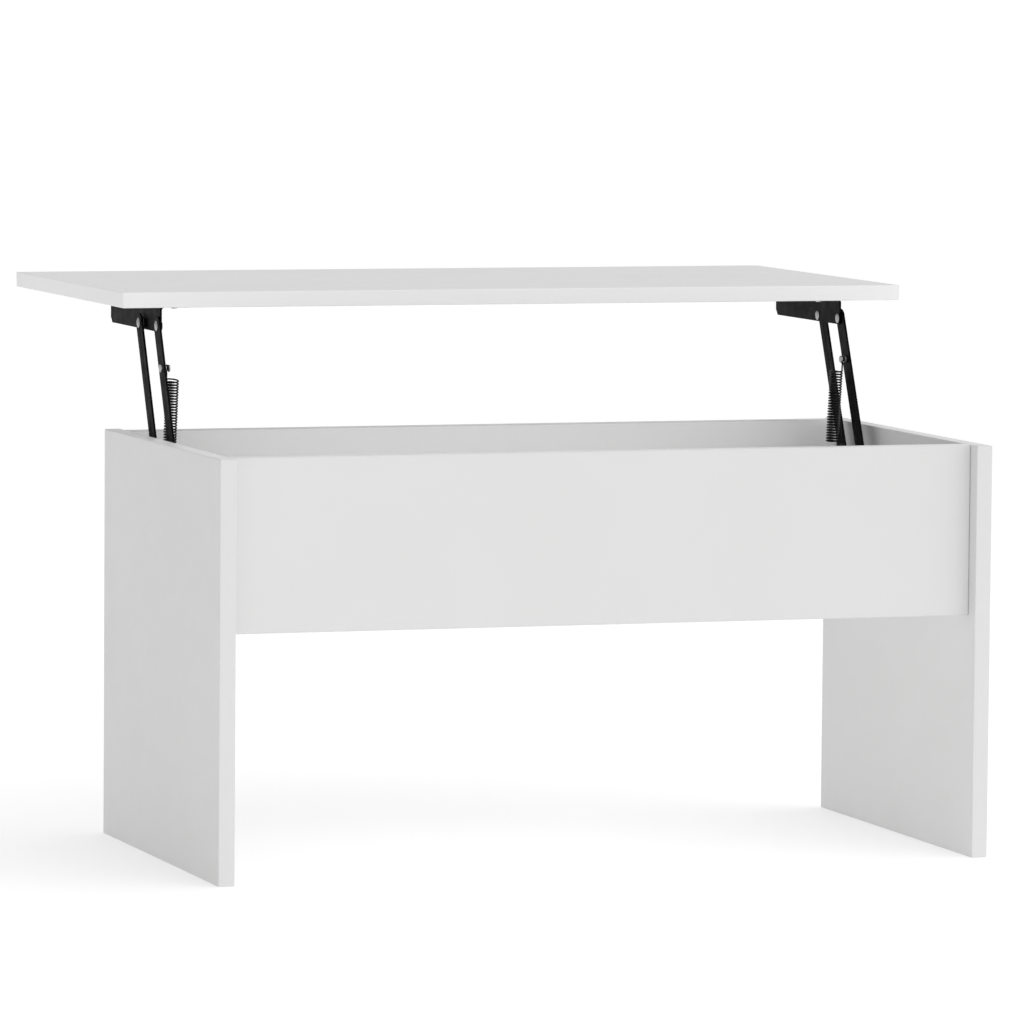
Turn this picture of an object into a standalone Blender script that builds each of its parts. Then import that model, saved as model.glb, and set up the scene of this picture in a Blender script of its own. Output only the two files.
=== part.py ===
"""Lift top coffee table: a board carcass with a storage compartment, and a top on two arm linkages.

Metres, +Z up. The design frame stands on the floor at the middle of the carcass, with the
front of the table at -Y. The whole design hangs from one empty that puts the world origin
under the middle of the opened table, where it is drawn: top raised and carried to +Y.
"""
import math

import bmesh
import bpy
from mathutils import Matrix, Vector

NAME = "lift_top_coffee_table"

# Boards.
TABLE_WIDTH = 1.020
TABLE_DEPTH = 0.505
TABLE_HEIGHT = 0.525
TOP_THICKNESS = 0.019
CARCASS_WIDTH = 0.981
SIDE_THICKNESS = 0.020
BOARD_THICKNESS = 0.019
APRON_HEIGHT = 0.209
APRON_RECESS = 0.021
GAP = 0.0003
EDGE_ROUNDING = 0.0006

# Travel of the top from closed to raised, and the lean of the raised arms past upright.
RAISE = 0.158
REACH = 0.354
ARM_LEAN = math.radians(24.2)

# Linkage, seen from the side.
PIVOT_SPACING = 0.0695
PIVOT_SETBACK = 0.053
PIVOT_DROP = 0.0252
ARM_WIDTH = 0.024
PEG_DROP = 0.0557
STOP_DISTANCE = 0.045

# Linkage, across the table: each layer's inboard face, measured from the middle.
ARM_THICKNESS = 0.0026
PLATE_THICKNESS = 0.0025
BRACKET_LAYER = 0.4469
ARM_LAYERS = {"front": BRACKET_LAYER + PLATE_THICKNESS + GAP}
ARM_LAYERS["rear"] = ARM_LAYERS["front"] + ARM_THICKNESS + GAP
WEB_LAYER = ARM_LAYERS["rear"] + ARM_THICKNESS + GAP
SPRING_PLANE = 0.4380
HOOK_PLANE = 0.4453

# Top bracket.
BRACKET_LENGTH = 0.223
BRACKET_SETBACK = 0.0475
BRACKET_DEPTH = 0.0325
BRACKET_FLANGE = 0.036
BRACKET_CHAMFER = 0.007
BEND_RADIUS = 0.003
BEND_STEPS = 4

# Base bracket: a raised web between two ears that lie on the side panel.
BASE_HEIGHT = 0.070
BASE_BELOW_PIVOT = 0.020
WEB_MARGIN = 0.022
EAR_LENGTH = 0.030

# Pins.
SHANK_RADIUS = 0.0037
PIVOT_HOLE_RADIUS = SHANK_RADIUS + GAP
HEAD_RADIUS = 0.0062
HEAD_HEIGHT = 0.0018
SPACER_RADIUS = 0.0054
POST_RADIUS = 0.0040
GROOVE_RADIUS = 0.0026
GROOVE_HALF_WIDTH = 0.0016
PEG_RADIUS = 0.0045
PEG_TIP = 0.4418
TIP_BEVEL = 0.0006
TIP_NARROWING = 0.8
HEAD_SHOULDER = 0.55
SHOULDER_NARROWING = 0.9
CROWN_NARROWING = 0.55

# Springs.
SPRING_RADIUS = 0.0085
SPRING_WALL = 0.0026
SPRING_START = 0.0140
SPRING_LENGTH = 0.0930
WIRE_RADIUS = 0.0010
HOOK_RADIUS = GROOVE_RADIUS + GAP + WIRE_RADIUS
HOOK_NECK = 1.6 * HOOK_RADIUS
HOOK_START_ANGLE = math.radians(-120)

# Screws, cams, cam bolts and dowels.
SCREW_RADIUS = 0.0019
SCREW_HEAD_RADIUS = 0.0040
SCREW_HEAD_HEIGHT = 0.0020
SCREW_CROWN_NARROWING = 0.6
SCREW_LENGTH = 0.0140
SCREW_POINT_LENGTH = 0.0030
SCREW_POINT_NARROWING = 0.2
SCREW_HOLE_RADIUS = 0.0024
SLOT_LENGTH = 0.0110
CAM_RADIUS = 0.0075
CAM_DEPTH = 0.0125
CAM_INSET = 0.0240
BOLT_RADIUS = 0.0030
BOLT_IN_SIDE = 0.0110
DOWEL_RADIUS = 0.0040
DOWEL_LENGTH = 0.0240
DOWEL_IN_SIDE = 0.0100
DOWEL_CHAMFER = 0.0008
DOWEL_SPREAD = 0.1300
CAM_HEIGHT = 0.4000
BRACKET_SCREWS = (0.066, 0.122, 0.186, 0.246)

ROUND_SIDES = 16
HOLE_SIDES = 16
CHAMFER_SIDES = 4
ARM_END_STEPS = 10
HOLE_CUT_LENGTH = 4 * PLATE_THICKNESS
MERGE_DISTANCE = 1e-6
CURVE_MERGE_DISTANCE = 1e-5
SMOOTH_BELOW = math.radians(40)
HOOK_STEPS = 13
HOOK_STEP_ANGLE = math.radians(22.5)

# Sizes that follow from the ones above.
SIDE_HEIGHT = TABLE_HEIGHT - TOP_THICKNESS - GAP
INNER_X = CARCASS_WIDTH / 2 - SIDE_THICKNESS
FRONT_Y = -TABLE_DEPTH / 2
APRON_Y = FRONT_Y + APRON_RECESS
APRON_BOTTOM = SIDE_HEIGHT - APRON_HEIGHT
TOP_UNDERSIDE = TABLE_HEIGHT - TOP_THICKNESS + RAISE
TOP_FRONT = FRONT_Y + REACH
ARM_LENGTH = (REACH ** 2 + RAISE ** 2) / (2 * (REACH * math.sin(ARM_LEAN) + RAISE * math.cos(ARM_LEAN)))
ARM_DIRECTION = Vector((0, math.sin(ARM_LEAN), math.cos(ARM_LEAN)))
ARM_NORMAL = Vector((0, math.cos(ARM_LEAN), -math.sin(ARM_LEAN)))
UPPER_FRONT = Vector((0, TOP_FRONT + PIVOT_SETBACK, TOP_UNDERSIDE - PIVOT_DROP))
UPPER_REAR = UPPER_FRONT + Vector((0, PIVOT_SPACING, 0))
LOWER_FRONT = UPPER_FRONT - ARM_LENGTH * ARM_DIRECTION
LOWER_REAR = UPPER_REAR - ARM_LENGTH * ARM_DIRECTION
PEG = UPPER_FRONT - PEG_DROP * ARM_DIRECTION
STOP_OFFSET = ARM_WIDTH / 2 + GAP + POST_RADIUS
STOP = LOWER_REAR + STOP_DISTANCE * ARM_DIRECTION + STOP_OFFSET * ARM_NORMAL
SPRING_LINE = (STOP - PEG).normalized()
ORIGIN = Vector((0, -(FRONT_Y + TOP_FRONT + TABLE_DEPTH) / 2, 0))
SIDES = {"left": -1, "right": 1}

# Directions, and rotations that lay a drawing's own axes along the table's axes.
SIDEWAYS = Vector((1, 0, 0))
UPWARDS = Vector((0, 0, 1))
ACROSS = (math.pi / 2, 0, math.pi / 2)
ALONG_Y = (math.pi / 2, 0, 0)
UPRIGHT = (0, 0, 0)

FINISHES = {
    "white_board": ((0.86, 0.86, 0.86), 0.38, 0.0),
    "black_steel": ((0.012, 0.012, 0.013), 0.42, 0.6),
    "rivet_steel": ((0.55, 0.55, 0.56), 0.35, 1.0),
    "spring_steel": ((0.02, 0.02, 0.022), 0.35, 0.9),
    "zinc_alloy": ((0.62, 0.62, 0.60), 0.40, 1.0),
    "beech": ((0.62, 0.42, 0.24), 0.60, 0.0),
}


def clear_scene():
    """Remove every object that the file opened with."""
    for item in list(bpy.data.objects):
        bpy.data.objects.remove(item, do_unlink=True)


def make_collection(name):
    """Return a new collection linked into the scene."""
    group = bpy.data.collections.new(name)
    bpy.context.scene.collection.children.link(group)
    return group


def dress(item, finish):
    """Give the item a Principled material of its own in the named finish."""
    colour, roughness, metallic = FINISHES[finish]
    material = bpy.data.materials.new(item.name)
    material.use_nodes = True
    shader = material.node_tree.nodes["Principled BSDF"]
    shader.inputs["Base Color"].default_value = (*colour, 1)
    shader.inputs["Roughness"].default_value = roughness
    shader.inputs["Metallic"].default_value = metallic
    item.data.materials.append(material)


def add_empty(name, place, parent=None):
    """Return an empty at a place in the design frame."""
    empty = bpy.data.objects.new(name, None)
    PARTS.objects.link(empty)
    put(empty, place, parent)
    return empty


def put(item, place, parent, turn=UPRIGHT):
    """Place an item by its design-frame position under a parent that is not turned."""
    item.location = Vector(place) - (DESIGN_PLACE[parent.name] if parent else Vector())
    item.rotation_euler = turn
    item.parent = parent
    DESIGN_PLACE[item.name] = Vector(place)


def add_mesh(name, form, group):
    """Make an object of a bmesh and free the bmesh."""
    mesh = bpy.data.meshes.new(name)
    form.to_mesh(mesh)
    form.free()
    item = bpy.data.objects.new(name, mesh)
    group.objects.link(item)
    return item


def add_board(name, low, high, parent):
    """A board between two corners, with its long edges just broken."""
    low, high = Vector(low), Vector(high)
    form = bmesh.new()
    bmesh.ops.create_cube(form, size=1, matrix=Matrix.Diagonal((*(high - low), 1)))
    board = add_mesh(name, form, PARTS)
    put(board, (low + high) / 2, parent)
    rounding = board.modifiers.new("rounded_edges", "BEVEL")
    rounding.width = EDGE_ROUNDING
    rounding.segments = 1
    dress(board, "white_board")
    return board


def cylinder_form(radius, length, sides, stretch=0):
    """A closed cylinder on Z, or a slot of the same width stretched along Y."""
    form = bmesh.new()
    bmesh.ops.create_cone(form, cap_ends=True, segments=sides, radius1=radius, radius2=radius, depth=length)
    for corner in form.verts:
        if abs(corner.co.y) > MERGE_DISTANCE:
            corner.co.y += math.copysign(stretch / 2, corner.co.y)
    return form


def add_cutter(name, place, axis, radius, length, stretch=0, sides=HOLE_SIDES):
    """A hidden round, square or slotted cutter centred on a place, along X, Y or Z."""
    form = cylinder_form(radius, length, sides, stretch)
    bmesh.ops.rotate(form, verts=form.verts, matrix=UPWARDS.rotation_difference(axis).to_matrix())
    cutter = add_mesh(name, form, CUTTERS)
    put(cutter, place, ROOT)
    hide_cutter(cutter)
    return cutter


def hide_cutter(cutter):
    """Keep a cutter out of the model."""
    cutter.hide_render = True
    cutter.display_type = "WIRE"


def cut(item, cutters):
    """Cut an item with each cutter in turn."""
    for cutter in cutters:
        step = item.modifiers.new(cutter.name, "BOOLEAN")
        step.operation = "DIFFERENCE"
        step.solver = "EXACT"
        step.object = cutter


def arc(centre, radius, start, end, count):
    """Points on an arc in a drawing, with both ends."""
    points = []
    for step in range(count + 1):
        angle = start + (end - start) * step / count
        points.append((centre[0] + radius * math.cos(angle), centre[1] + radius * math.sin(angle)))
    return points


def add_spline(curve, points, closed):
    """Add a straight-sided spline through the points to a curve."""
    spline = curve.splines.new("POLY")
    spline.points.add(len(points) - 1)
    for corner, point in zip(spline.points, points):
        corner.co = (*point, 0, 1) if len(point) == 2 else (*point, 1)
    spline.use_cyclic_u = closed


def add_plate(name, outline, holes, thickness, place, parent, finish):
    """A flat plate standing across X: an outline with holes, drawn in Y and Z."""
    curve = bpy.data.curves.new(name, "CURVE")
    curve.dimensions = "2D"
    curve.fill_mode = "BOTH"
    curve.extrude = thickness / 2
    add_spline(curve, outline, True)
    for centre, radius in holes:
        add_spline(curve, arc(centre, radius, 0, math.tau, HOLE_SIDES)[:-1], True)
    plate = bpy.data.objects.new(name, curve)
    PARTS.objects.link(plate)
    put(plate, place, parent, ACROSS)
    dress(plate, finish)
    return plate


def add_folded_sheet(name, profile, width, place, turn, finish, flip):
    """Sheet metal folded along a profile: an open ribbon, then its thickness grown inwards."""
    curve = bpy.data.curves.new(name, "CURVE")
    curve.dimensions = "2D"
    curve.extrude = width / 2
    curve.fill_mode = "NONE"
    add_spline(curve, profile, False)
    sheet = add_mesh(name, curve_mesh(name, curve), PARTS)
    put(sheet, place, ROOT, turn)
    thickness = sheet.modifiers.new("sheet_thickness", "SOLIDIFY")
    thickness.thickness = PLATE_THICKNESS
    thickness.offset = -1 if flip else 1
    thickness.use_even_offset = True
    dress(sheet, finish)
    return sheet


def add_solid(name, form, parent, finish):
    """A node of one bmesh that is already in the design frame, round stretches shaded smooth."""
    centre = DESIGN_PLACE[parent.name]
    bmesh.ops.translate(form, verts=form.verts, vec=-centre)
    item = add_mesh(name, form, PARTS)
    item.data.shade_smooth()
    item.data.set_sharp_from_angle(angle=SMOOTH_BELOW)
    put(item, centre, parent)
    dress(item, finish)
    return item


def spun(outline, hollow, place, direction):
    """A closed bmesh spun about a direction from (distance along it, radius) pairs."""
    form = bmesh.new()
    rail = [form.verts.new((radius, 0, distance)) for distance, radius in outline]
    following = rail[1:] + rail[:1] if hollow else rail[1:]
    edges = [form.edges.new(pair) for pair in zip(rail, following)]
    bmesh.ops.spin(form, geom=rail + edges, axis=UPWARDS, cent=(0, 0, 0), angle=math.tau,
                   steps=ROUND_SIDES, use_merge=True)
    bmesh.ops.remove_doubles(form, verts=form.verts, dist=MERGE_DISTANCE)
    bmesh.ops.recalc_face_normals(form, faces=form.faces)
    turn = UPWARDS.rotation_difference(direction).to_matrix().to_4x4()
    bmesh.ops.transform(form, matrix=Matrix.Translation(place) @ turn, verts=form.verts)
    return form


def turned(profile, place, direction):
    """A solid of revolution that closes on its axis at both ends."""
    return spun([(profile[0][0], 0), *profile, (profile[-1][0], 0)], False, place, direction)


def turned_tube(inner, outer, length, place, direction):
    """A round tube that is open at both ends."""
    outline = [(0, inner), (length, inner), (length, outer), (0, outer)]
    return spun(outline, True, place, direction)


def curve_mesh(name, curve):
    """The mesh that a curve evaluates to, with its seams closed, and the curve removed."""
    guide = bpy.data.objects.new(name + "_guide", curve)
    PARTS.objects.link(guide)
    view = bpy.context.evaluated_depsgraph_get()
    mesh = bpy.data.meshes.new_from_object(guide.evaluated_get(view))
    bpy.data.objects.remove(guide, do_unlink=True)
    form = bmesh.new()
    form.from_mesh(mesh)
    bpy.data.meshes.remove(mesh)
    bmesh.ops.remove_doubles(form, verts=form.verts, dist=CURVE_MERGE_DISTANCE)
    return form


def wire_form(name, points):
    """A closed bmesh of round wire through points given in the design frame."""
    curve = bpy.data.curves.new(name, "CURVE")
    curve.dimensions = "3D"
    curve.bevel_depth = WIRE_RADIUS
    curve.bevel_resolution = 2
    curve.use_fill_caps = True
    add_spline(curve, points, False)
    return curve_mesh(name, curve)


def across(side, x, place):
    """A place in the design frame at a distance from the middle, on one side."""
    return Vector((side * x, place[1], place[2]))


def build_carcass():
    """The two side panels, the two aprons and the compartment's floor."""
    boards = {}
    for label, side in SIDES.items():
        low_x, high_x = sorted((side * INNER_X, side * CARCASS_WIDTH / 2))
        low = (low_x, FRONT_Y, 0)
        high = (high_x, -FRONT_Y, SIDE_HEIGHT)
        boards[label] = add_board(f"{label}_side_panel", low, high, ROOT)
    span = INNER_X - GAP
    for label, low_y in (("front", APRON_Y), ("back", -APRON_Y - BOARD_THICKNESS)):
        low = (-span, low_y, APRON_BOTTOM)
        high = (span, low_y + BOARD_THICKNESS, SIDE_HEIGHT)
        boards[label] = add_board(f"{label}_panel", low, high, ROOT)
    depth = -APRON_Y - BOARD_THICKNESS - GAP
    low = (-span, -depth, APRON_BOTTOM)
    high = (span, depth, APRON_BOTTOM + BOARD_THICKNESS)
    boards["floor"] = add_board("compartment_floor", low, high, ROOT)
    return boards


def build_fixings(boards):
    """A cam lock and its bolt at each end of the two panels, and the floor's dowels, in their bores."""
    inner = -APRON_Y - BOARD_THICKNESS
    middle = inner + BOARD_THICKNESS / 2
    for label, side in SIDES.items():
        for board, facing in (("front", Vector((0, 1, 0))), ("back", Vector((0, -1, 0)))):
            name = f"{label}_{board}"
            mouth = Vector((side * (INNER_X - CAM_INSET), -facing.y * inner, CAM_HEIGHT))
            cam = [(0, CAM_RADIUS), (CAM_DEPTH - GAP, CAM_RADIUS)]
            add_solid(f"{name}_cam_lock", turned(cam, mouth - CAM_DEPTH * facing + GAP * facing, facing),
                      ROOT, "zinc_alloy")
            seat = add_cutter("cam_bore", mouth, facing, CAM_RADIUS + GAP, 2 * CAM_DEPTH)
            bolt_length = BOLT_IN_SIDE + CAM_INSET - CAM_RADIUS - 2 * GAP
            start = Vector((side * (INNER_X + BOLT_IN_SIDE), -facing.y * middle, CAM_HEIGHT))
            add_solid(f"{name}_cam_bolt", turned([(0, BOLT_RADIUS), (bolt_length, BOLT_RADIUS)], start,
                                                 -side * SIDEWAYS), ROOT, "zinc_alloy")
            mid = Vector((side * INNER_X, start.y, start.z))
            socket = add_cutter("bolt_socket", mid, SIDEWAYS, BOLT_RADIUS + GAP, 2 * (BOLT_IN_SIDE + GAP))
            channel = add_cutter("bolt_bore", mid, SIDEWAYS, BOLT_RADIUS + GAP, 2 * CAM_INSET)
            cut(boards[board], [seat, channel])
            cut(boards[label], [socket])
        for place, y in (("front", -DOWEL_SPREAD), ("back", DOWEL_SPREAD)):
            start = Vector((side * (INNER_X + DOWEL_IN_SIDE), y, APRON_BOTTOM + BOARD_THICKNESS / 2))
            profile = [(0, DOWEL_RADIUS - DOWEL_CHAMFER), (DOWEL_CHAMFER, DOWEL_RADIUS),
                       (DOWEL_LENGTH - DOWEL_CHAMFER, DOWEL_RADIUS),
                       (DOWEL_LENGTH, DOWEL_RADIUS - DOWEL_CHAMFER)]
            add_solid(f"{label}_{place}_dowel", turned(profile, start, -side * SIDEWAYS), ROOT, "beech")
            centre = start - side * SIDEWAYS * DOWEL_LENGTH / 2
            bore = add_cutter("dowel_bore", centre, SIDEWAYS, DOWEL_RADIUS + GAP, DOWEL_LENGTH + 2 * GAP)
            cut(boards["floor"], [bore])
            cut(boards[label], [bore])


def build_top():
    """The table top, which moves with the upper front pivot of the right linkage."""
    low = (-TABLE_WIDTH / 2, TOP_FRONT, TOP_UNDERSIDE)
    high = (TABLE_WIDTH / 2, TOP_FRONT + TABLE_DEPTH, TOP_UNDERSIDE + TOP_THICKNESS)
    return add_board("table_top", low, high, TOP_PIVOT)


def bracket_profile(side):
    """The section of a top bracket, drawn in X and Z: the flange under the top, the bend, the web."""
    web_x = side * BRACKET_LAYER
    top = TOP_UNDERSIDE - GAP
    start = 0 if side > 0 else math.pi
    end = math.pi / 2
    centre = (web_x - side * BEND_RADIUS, top - PLATE_THICKNESS - BEND_RADIUS)
    bend = arc(centre, BEND_RADIUS, end, start, BEND_STEPS)
    return [(side * (BRACKET_LAYER - BRACKET_FLANGE), top - PLATE_THICKNESS), *bend,
            (web_x, top - BRACKET_DEPTH)]


def build_top_bracket(label, side, top):
    """A pressed angle under the top, with pivot holes in its web and slots in its flange."""
    middle_y = TOP_FRONT + BRACKET_SETBACK + BRACKET_LENGTH / 2
    bracket = add_folded_sheet(f"{label}_top_bracket", bracket_profile(side), BRACKET_LENGTH,
                               (0, middle_y, 0), ALONG_Y, "black_steel", side < 0)
    web_middle = BRACKET_LAYER + PLATE_THICKNESS / 2
    cutters = []
    for pivot in (UPPER_FRONT, UPPER_REAR):
        cutters.append(add_cutter("pivot_hole", across(side, web_middle, pivot), SIDEWAYS,
                                  PIVOT_HOLE_RADIUS, HOLE_CUT_LENGTH))
    pilots = []
    screw_x = side * (BRACKET_LAYER - BRACKET_FLANGE / 2 - BEND_RADIUS)
    head_z = TOP_UNDERSIDE - GAP - PLATE_THICKNESS - GAP
    for number, distance in enumerate(BRACKET_SCREWS, 1):
        place = Vector((screw_x, TOP_FRONT + distance, head_z))
        cutters.append(add_cutter("screw_slot", place, UPWARDS, SCREW_HOLE_RADIUS,
                                  HOLE_CUT_LENGTH, SLOT_LENGTH - 2 * SCREW_HOLE_RADIUS))
        add_solid(f"{label}_bracket_screw_{number}", turned(screw_profile(), place, UPWARDS),
                  TOP_PIVOT, "rivet_steel")
        pilots.append(add_cutter("pilot_hole", place, UPWARDS, SCREW_RADIUS + GAP,
                                 2 * (SCREW_LENGTH + GAP)))
    corner = Vector((side * web_middle, middle_y + BRACKET_LENGTH / 2, TOP_UNDERSIDE - GAP - BRACKET_DEPTH))
    chamfer = add_cutter("corner_cut", corner, SIDEWAYS, BRACKET_CHAMFER, HOLE_CUT_LENGTH,
                         sides=CHAMFER_SIDES)
    cut(bracket, [*cutters, chamfer])
    cut(top, pilots)
    bracket.location = DESIGN_PLACE[bracket.name] - DESIGN_PLACE[TOP_PIVOT.name]
    bracket.parent = TOP_PIVOT


def screw_profile():
    """A pan-head screw pointing up from the seat of its head."""
    crown = (-SCREW_HEAD_HEIGHT, SCREW_HEAD_RADIUS * SCREW_CROWN_NARROWING)
    shoulder = (-SCREW_HEAD_HEIGHT * HEAD_SHOULDER, SCREW_HEAD_RADIUS * SHOULDER_NARROWING)
    return [crown, shoulder, (0, SCREW_HEAD_RADIUS), (0, SCREW_RADIUS),
            (SCREW_LENGTH - SCREW_POINT_LENGTH, SCREW_RADIUS),
            (SCREW_LENGTH, SCREW_RADIUS * SCREW_POINT_NARROWING)]


def arm_outline():
    """A bar with round ends, drawn about its lower pivot and leaning as the raised arm does."""
    half = ARM_WIDTH / 2
    lean = math.pi / 2 - ARM_LEAN
    upper = (ARM_DIRECTION.y * ARM_LENGTH, ARM_DIRECTION.z * ARM_LENGTH)
    return [*arc(upper, half, lean - math.pi / 2, lean + math.pi / 2, ARM_END_STEPS),
            *arc((0, 0), half, lean + math.pi / 2, lean + 3 * math.pi / 2, ARM_END_STEPS)]


def build_arms(label, side):
    """The front and rear arm of one linkage, each on the empty of its lower pivot."""
    upper = (ARM_DIRECTION.y * ARM_LENGTH, ARM_DIRECTION.z * ARM_LENGTH)
    peg_at = ARM_LENGTH - PEG_DROP
    peg = (ARM_DIRECTION.y * peg_at, ARM_DIRECTION.z * peg_at)
    pivots = [((0, 0), PIVOT_HOLE_RADIUS), (upper, PIVOT_HOLE_RADIUS)]
    front = [*pivots, (peg, GROOVE_RADIUS + GAP)]
    for name, lower, holes in (("front", LOWER_FRONT, front), ("rear", LOWER_REAR, pivots)):
        layer = side * (ARM_LAYERS[name] + ARM_THICKNESS / 2)
        add_plate(f"{label}_{name}_arm", arm_outline(), holes, ARM_THICKNESS,
                  (layer, lower.y, lower.z), PIVOTS[label, name], "black_steel")


def rivet_profile(grip, spacer):
    """A rivet between two domed heads, with a wider stretch where a layer is left empty."""
    shoulder = HEAD_HEIGHT * HEAD_SHOULDER
    shoulder_radius = HEAD_RADIUS * SHOULDER_NARROWING
    crown_radius = HEAD_RADIUS * CROWN_NARROWING
    shank = [(0, SHANK_RADIUS)]
    if spacer:
        start, end = spacer
        shank += [(start, SHANK_RADIUS), (start, SPACER_RADIUS), (end, SPACER_RADIUS), (end, SHANK_RADIUS)]
    return [(-HEAD_HEIGHT, crown_radius), (-shoulder, shoulder_radius), (0, HEAD_RADIUS), *shank,
            (grip, SHANK_RADIUS), (grip, HEAD_RADIUS), (grip + shoulder, shoulder_radius),
            (grip + HEAD_HEIGHT, crown_radius)]


def build_rivets(label, side):
    """The upper rivets through bracket and arm, and the lower ones through arm and base web."""
    sideways = side * SIDEWAYS
    near = 3 * GAP + PLATE_THICKNESS + ARM_THICKNESS
    far = near + ARM_THICKNESS + GAP
    rivets = (
        ("front_upper", UPPER_FRONT, BRACKET_LAYER, near, None, TOP_PIVOT),
        ("rear_upper", UPPER_REAR, BRACKET_LAYER, far, (PLATE_THICKNESS, ARM_THICKNESS), TOP_PIVOT),
        ("front_lower", LOWER_FRONT, ARM_LAYERS["front"], far, (ARM_THICKNESS, ARM_THICKNESS), ROOT),
        ("rear_lower", LOWER_REAR, ARM_LAYERS["rear"], near, None, ROOT),
    )
    for name, place, layer, grip, spacer, parent in rivets:
        if spacer:
            first, width = spacer
            spacer = (first + 2 * GAP, first + 2 * GAP + width)
        add_solid(f"{label}_{name}_rivet",
                  turned(rivet_profile(grip, spacer), across(side, layer - GAP, place), sideways),
                  parent, "rivet_steel")


def base_span():
    """The web's front and rear edge on Y."""
    return LOWER_FRONT.y - WEB_MARGIN, STOP.y + WEB_MARGIN


def base_profile(side):
    """The base bracket's section in plan: ear, step, web, step, ear."""
    front, rear = base_span()
    panel_x = side * (INNER_X - GAP)
    web_x = side * (WEB_LAYER + PLATE_THICKNESS)
    return [(panel_x, front - EAR_LENGTH), (panel_x, front), (web_x, front), (web_x, rear),
            (panel_x, rear), (panel_x, rear + EAR_LENGTH)]


def build_base(label, side, panel):
    """The base bracket on the side panel, its screws, and the post that stops the rear arm."""
    sideways = side * SIDEWAYS
    bottom = LOWER_REAR.z - BASE_BELOW_PIVOT
    base = add_folded_sheet(f"{label}_base_bracket", base_profile(side), BASE_HEIGHT,
                            (0, 0, bottom + BASE_HEIGHT / 2), UPRIGHT, "black_steel", side < 0)
    front, rear = base_span()
    web_middle = WEB_LAYER + PLATE_THICKNESS / 2
    holes = [add_cutter("web_hole", across(side, web_middle, place), sideways, PIVOT_HOLE_RADIUS,
                        HOLE_CUT_LENGTH) for place in (LOWER_FRONT, LOWER_REAR, STOP)]
    head_x = INNER_X - GAP - PLATE_THICKNESS - GAP
    pilots = []
    for row, y in (("front", front - EAR_LENGTH / 2), ("rear", rear + EAR_LENGTH / 2)):
        for level, z in (("lower", bottom + EAR_LENGTH / 2), ("upper", bottom + BASE_HEIGHT - EAR_LENGTH / 2)):
            place = Vector((side * head_x, y, z))
            holes.append(add_cutter("ear_hole", place, sideways, SCREW_HOLE_RADIUS, HOLE_CUT_LENGTH))
            add_solid(f"{label}_{row}_{level}_base_screw", turned(screw_profile(), place, sideways), ROOT,
                      "rivet_steel")
            pilots.append(add_cutter("pilot_hole", place, sideways, SCREW_RADIUS + GAP,
                                     2 * (SCREW_LENGTH + GAP)))
    cut(base, holes)
    cut(panel, pilots)
    head_x = WEB_LAYER + PLATE_THICKNESS + GAP + HEAD_HEIGHT
    shank = head_x - WEB_LAYER + GAP
    post = [(0, HEAD_RADIUS * CROWN_NARROWING), (HEAD_HEIGHT, HEAD_RADIUS), (HEAD_HEIGHT, SHANK_RADIUS),
            (shank, SHANK_RADIUS), (shank, POST_RADIUS),
            *groove_profile(head_x, POST_RADIUS)]
    add_solid(f"{label}_stop_post", turned(post, across(side, head_x, STOP), -sideways), ROOT, "rivet_steel")


def groove_profile(head_x, radius):
    """The neck that holds a spring hook, and the tip past it, as distances from the head's face."""
    neck = head_x - HOOK_PLANE
    tip = head_x - PEG_TIP
    return [(neck - GROOVE_HALF_WIDTH, radius), (neck - GROOVE_HALF_WIDTH, GROOVE_RADIUS),
            (neck + GROOVE_HALF_WIDTH, GROOVE_RADIUS), (neck + GROOVE_HALF_WIDTH, radius),
            (tip - TIP_BEVEL, radius), (tip, radius * TIP_NARROWING)]


def build_peg(label, side):
    """The peg riveted to the front arm, which holds the spring's upper hook."""
    sideways = side * SIDEWAYS
    layer = ARM_LAYERS["front"]
    head_x = layer + ARM_THICKNESS + GAP + HEAD_HEIGHT
    shank = head_x - layer + GAP
    crown_radius = HEAD_RADIUS * CROWN_NARROWING
    profile = [(0, crown_radius), (HEAD_HEIGHT, HEAD_RADIUS * TIP_NARROWING), (HEAD_HEIGHT, GROOVE_RADIUS),
               (shank, GROOVE_RADIUS), (shank, PEG_RADIUS), *groove_profile(head_x, PEG_RADIUS)]
    add_solid(f"{label}_spring_peg", turned(profile, across(side, head_x, PEG), -sideways),
              PIVOTS[label, "front"], "rivet_steel")


def hook_points(eye, towards, reach, side):
    """A hook's wire: open ring round an eye in the hook plane, then straight towards the spring."""
    normal = Vector((0, -towards.z, towards.y))
    start = Vector((side * HOOK_PLANE, eye.y, eye.z))
    ring = []
    for step in range(HOOK_STEPS):
        angle = HOOK_START_ANGLE + step * HOOK_STEP_ANGLE
        ring.append(start + HOOK_RADIUS * (math.sin(angle) * normal - math.cos(angle) * towards))
    return [*ring, start + HOOK_NECK * towards, start + reach * towards]


def build_spring(label, side):
    """The extension spring: coil with its lower hook on the post, and its loose upper hook."""
    lower_reach = (STOP - PEG).length - SPRING_START - SPRING_LENGTH + WIRE_RADIUS
    coil_start = across(side, SPRING_PLANE, PEG) + SPRING_START * SPRING_LINE
    coil = turned_tube(SPRING_RADIUS - SPRING_WALL, SPRING_RADIUS, SPRING_LENGTH, coil_start, SPRING_LINE)
    spring = add_solid(f"{label}_spring", coil, PIVOTS[label, "spring"], "spring_steel")
    lower = wire_form("hook", hook_points(STOP, -SPRING_LINE, lower_reach, side))
    hook = add_mesh(f"{label}_lower_hook", lower, CUTTERS)
    put(hook, (0, 0, 0), ROOT)
    hide_cutter(hook)
    join = spring.modifiers.new("lower_hook", "BOOLEAN")
    join.operation = "UNION"
    join.solver = "EXACT"
    join.object = hook
    upper = wire_form("hook", hook_points(PEG, SPRING_LINE, SPRING_START - GAP, side))
    add_solid(f"{label}_spring_hook", upper, PIVOTS[label, "spring"], "spring_steel")


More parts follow.
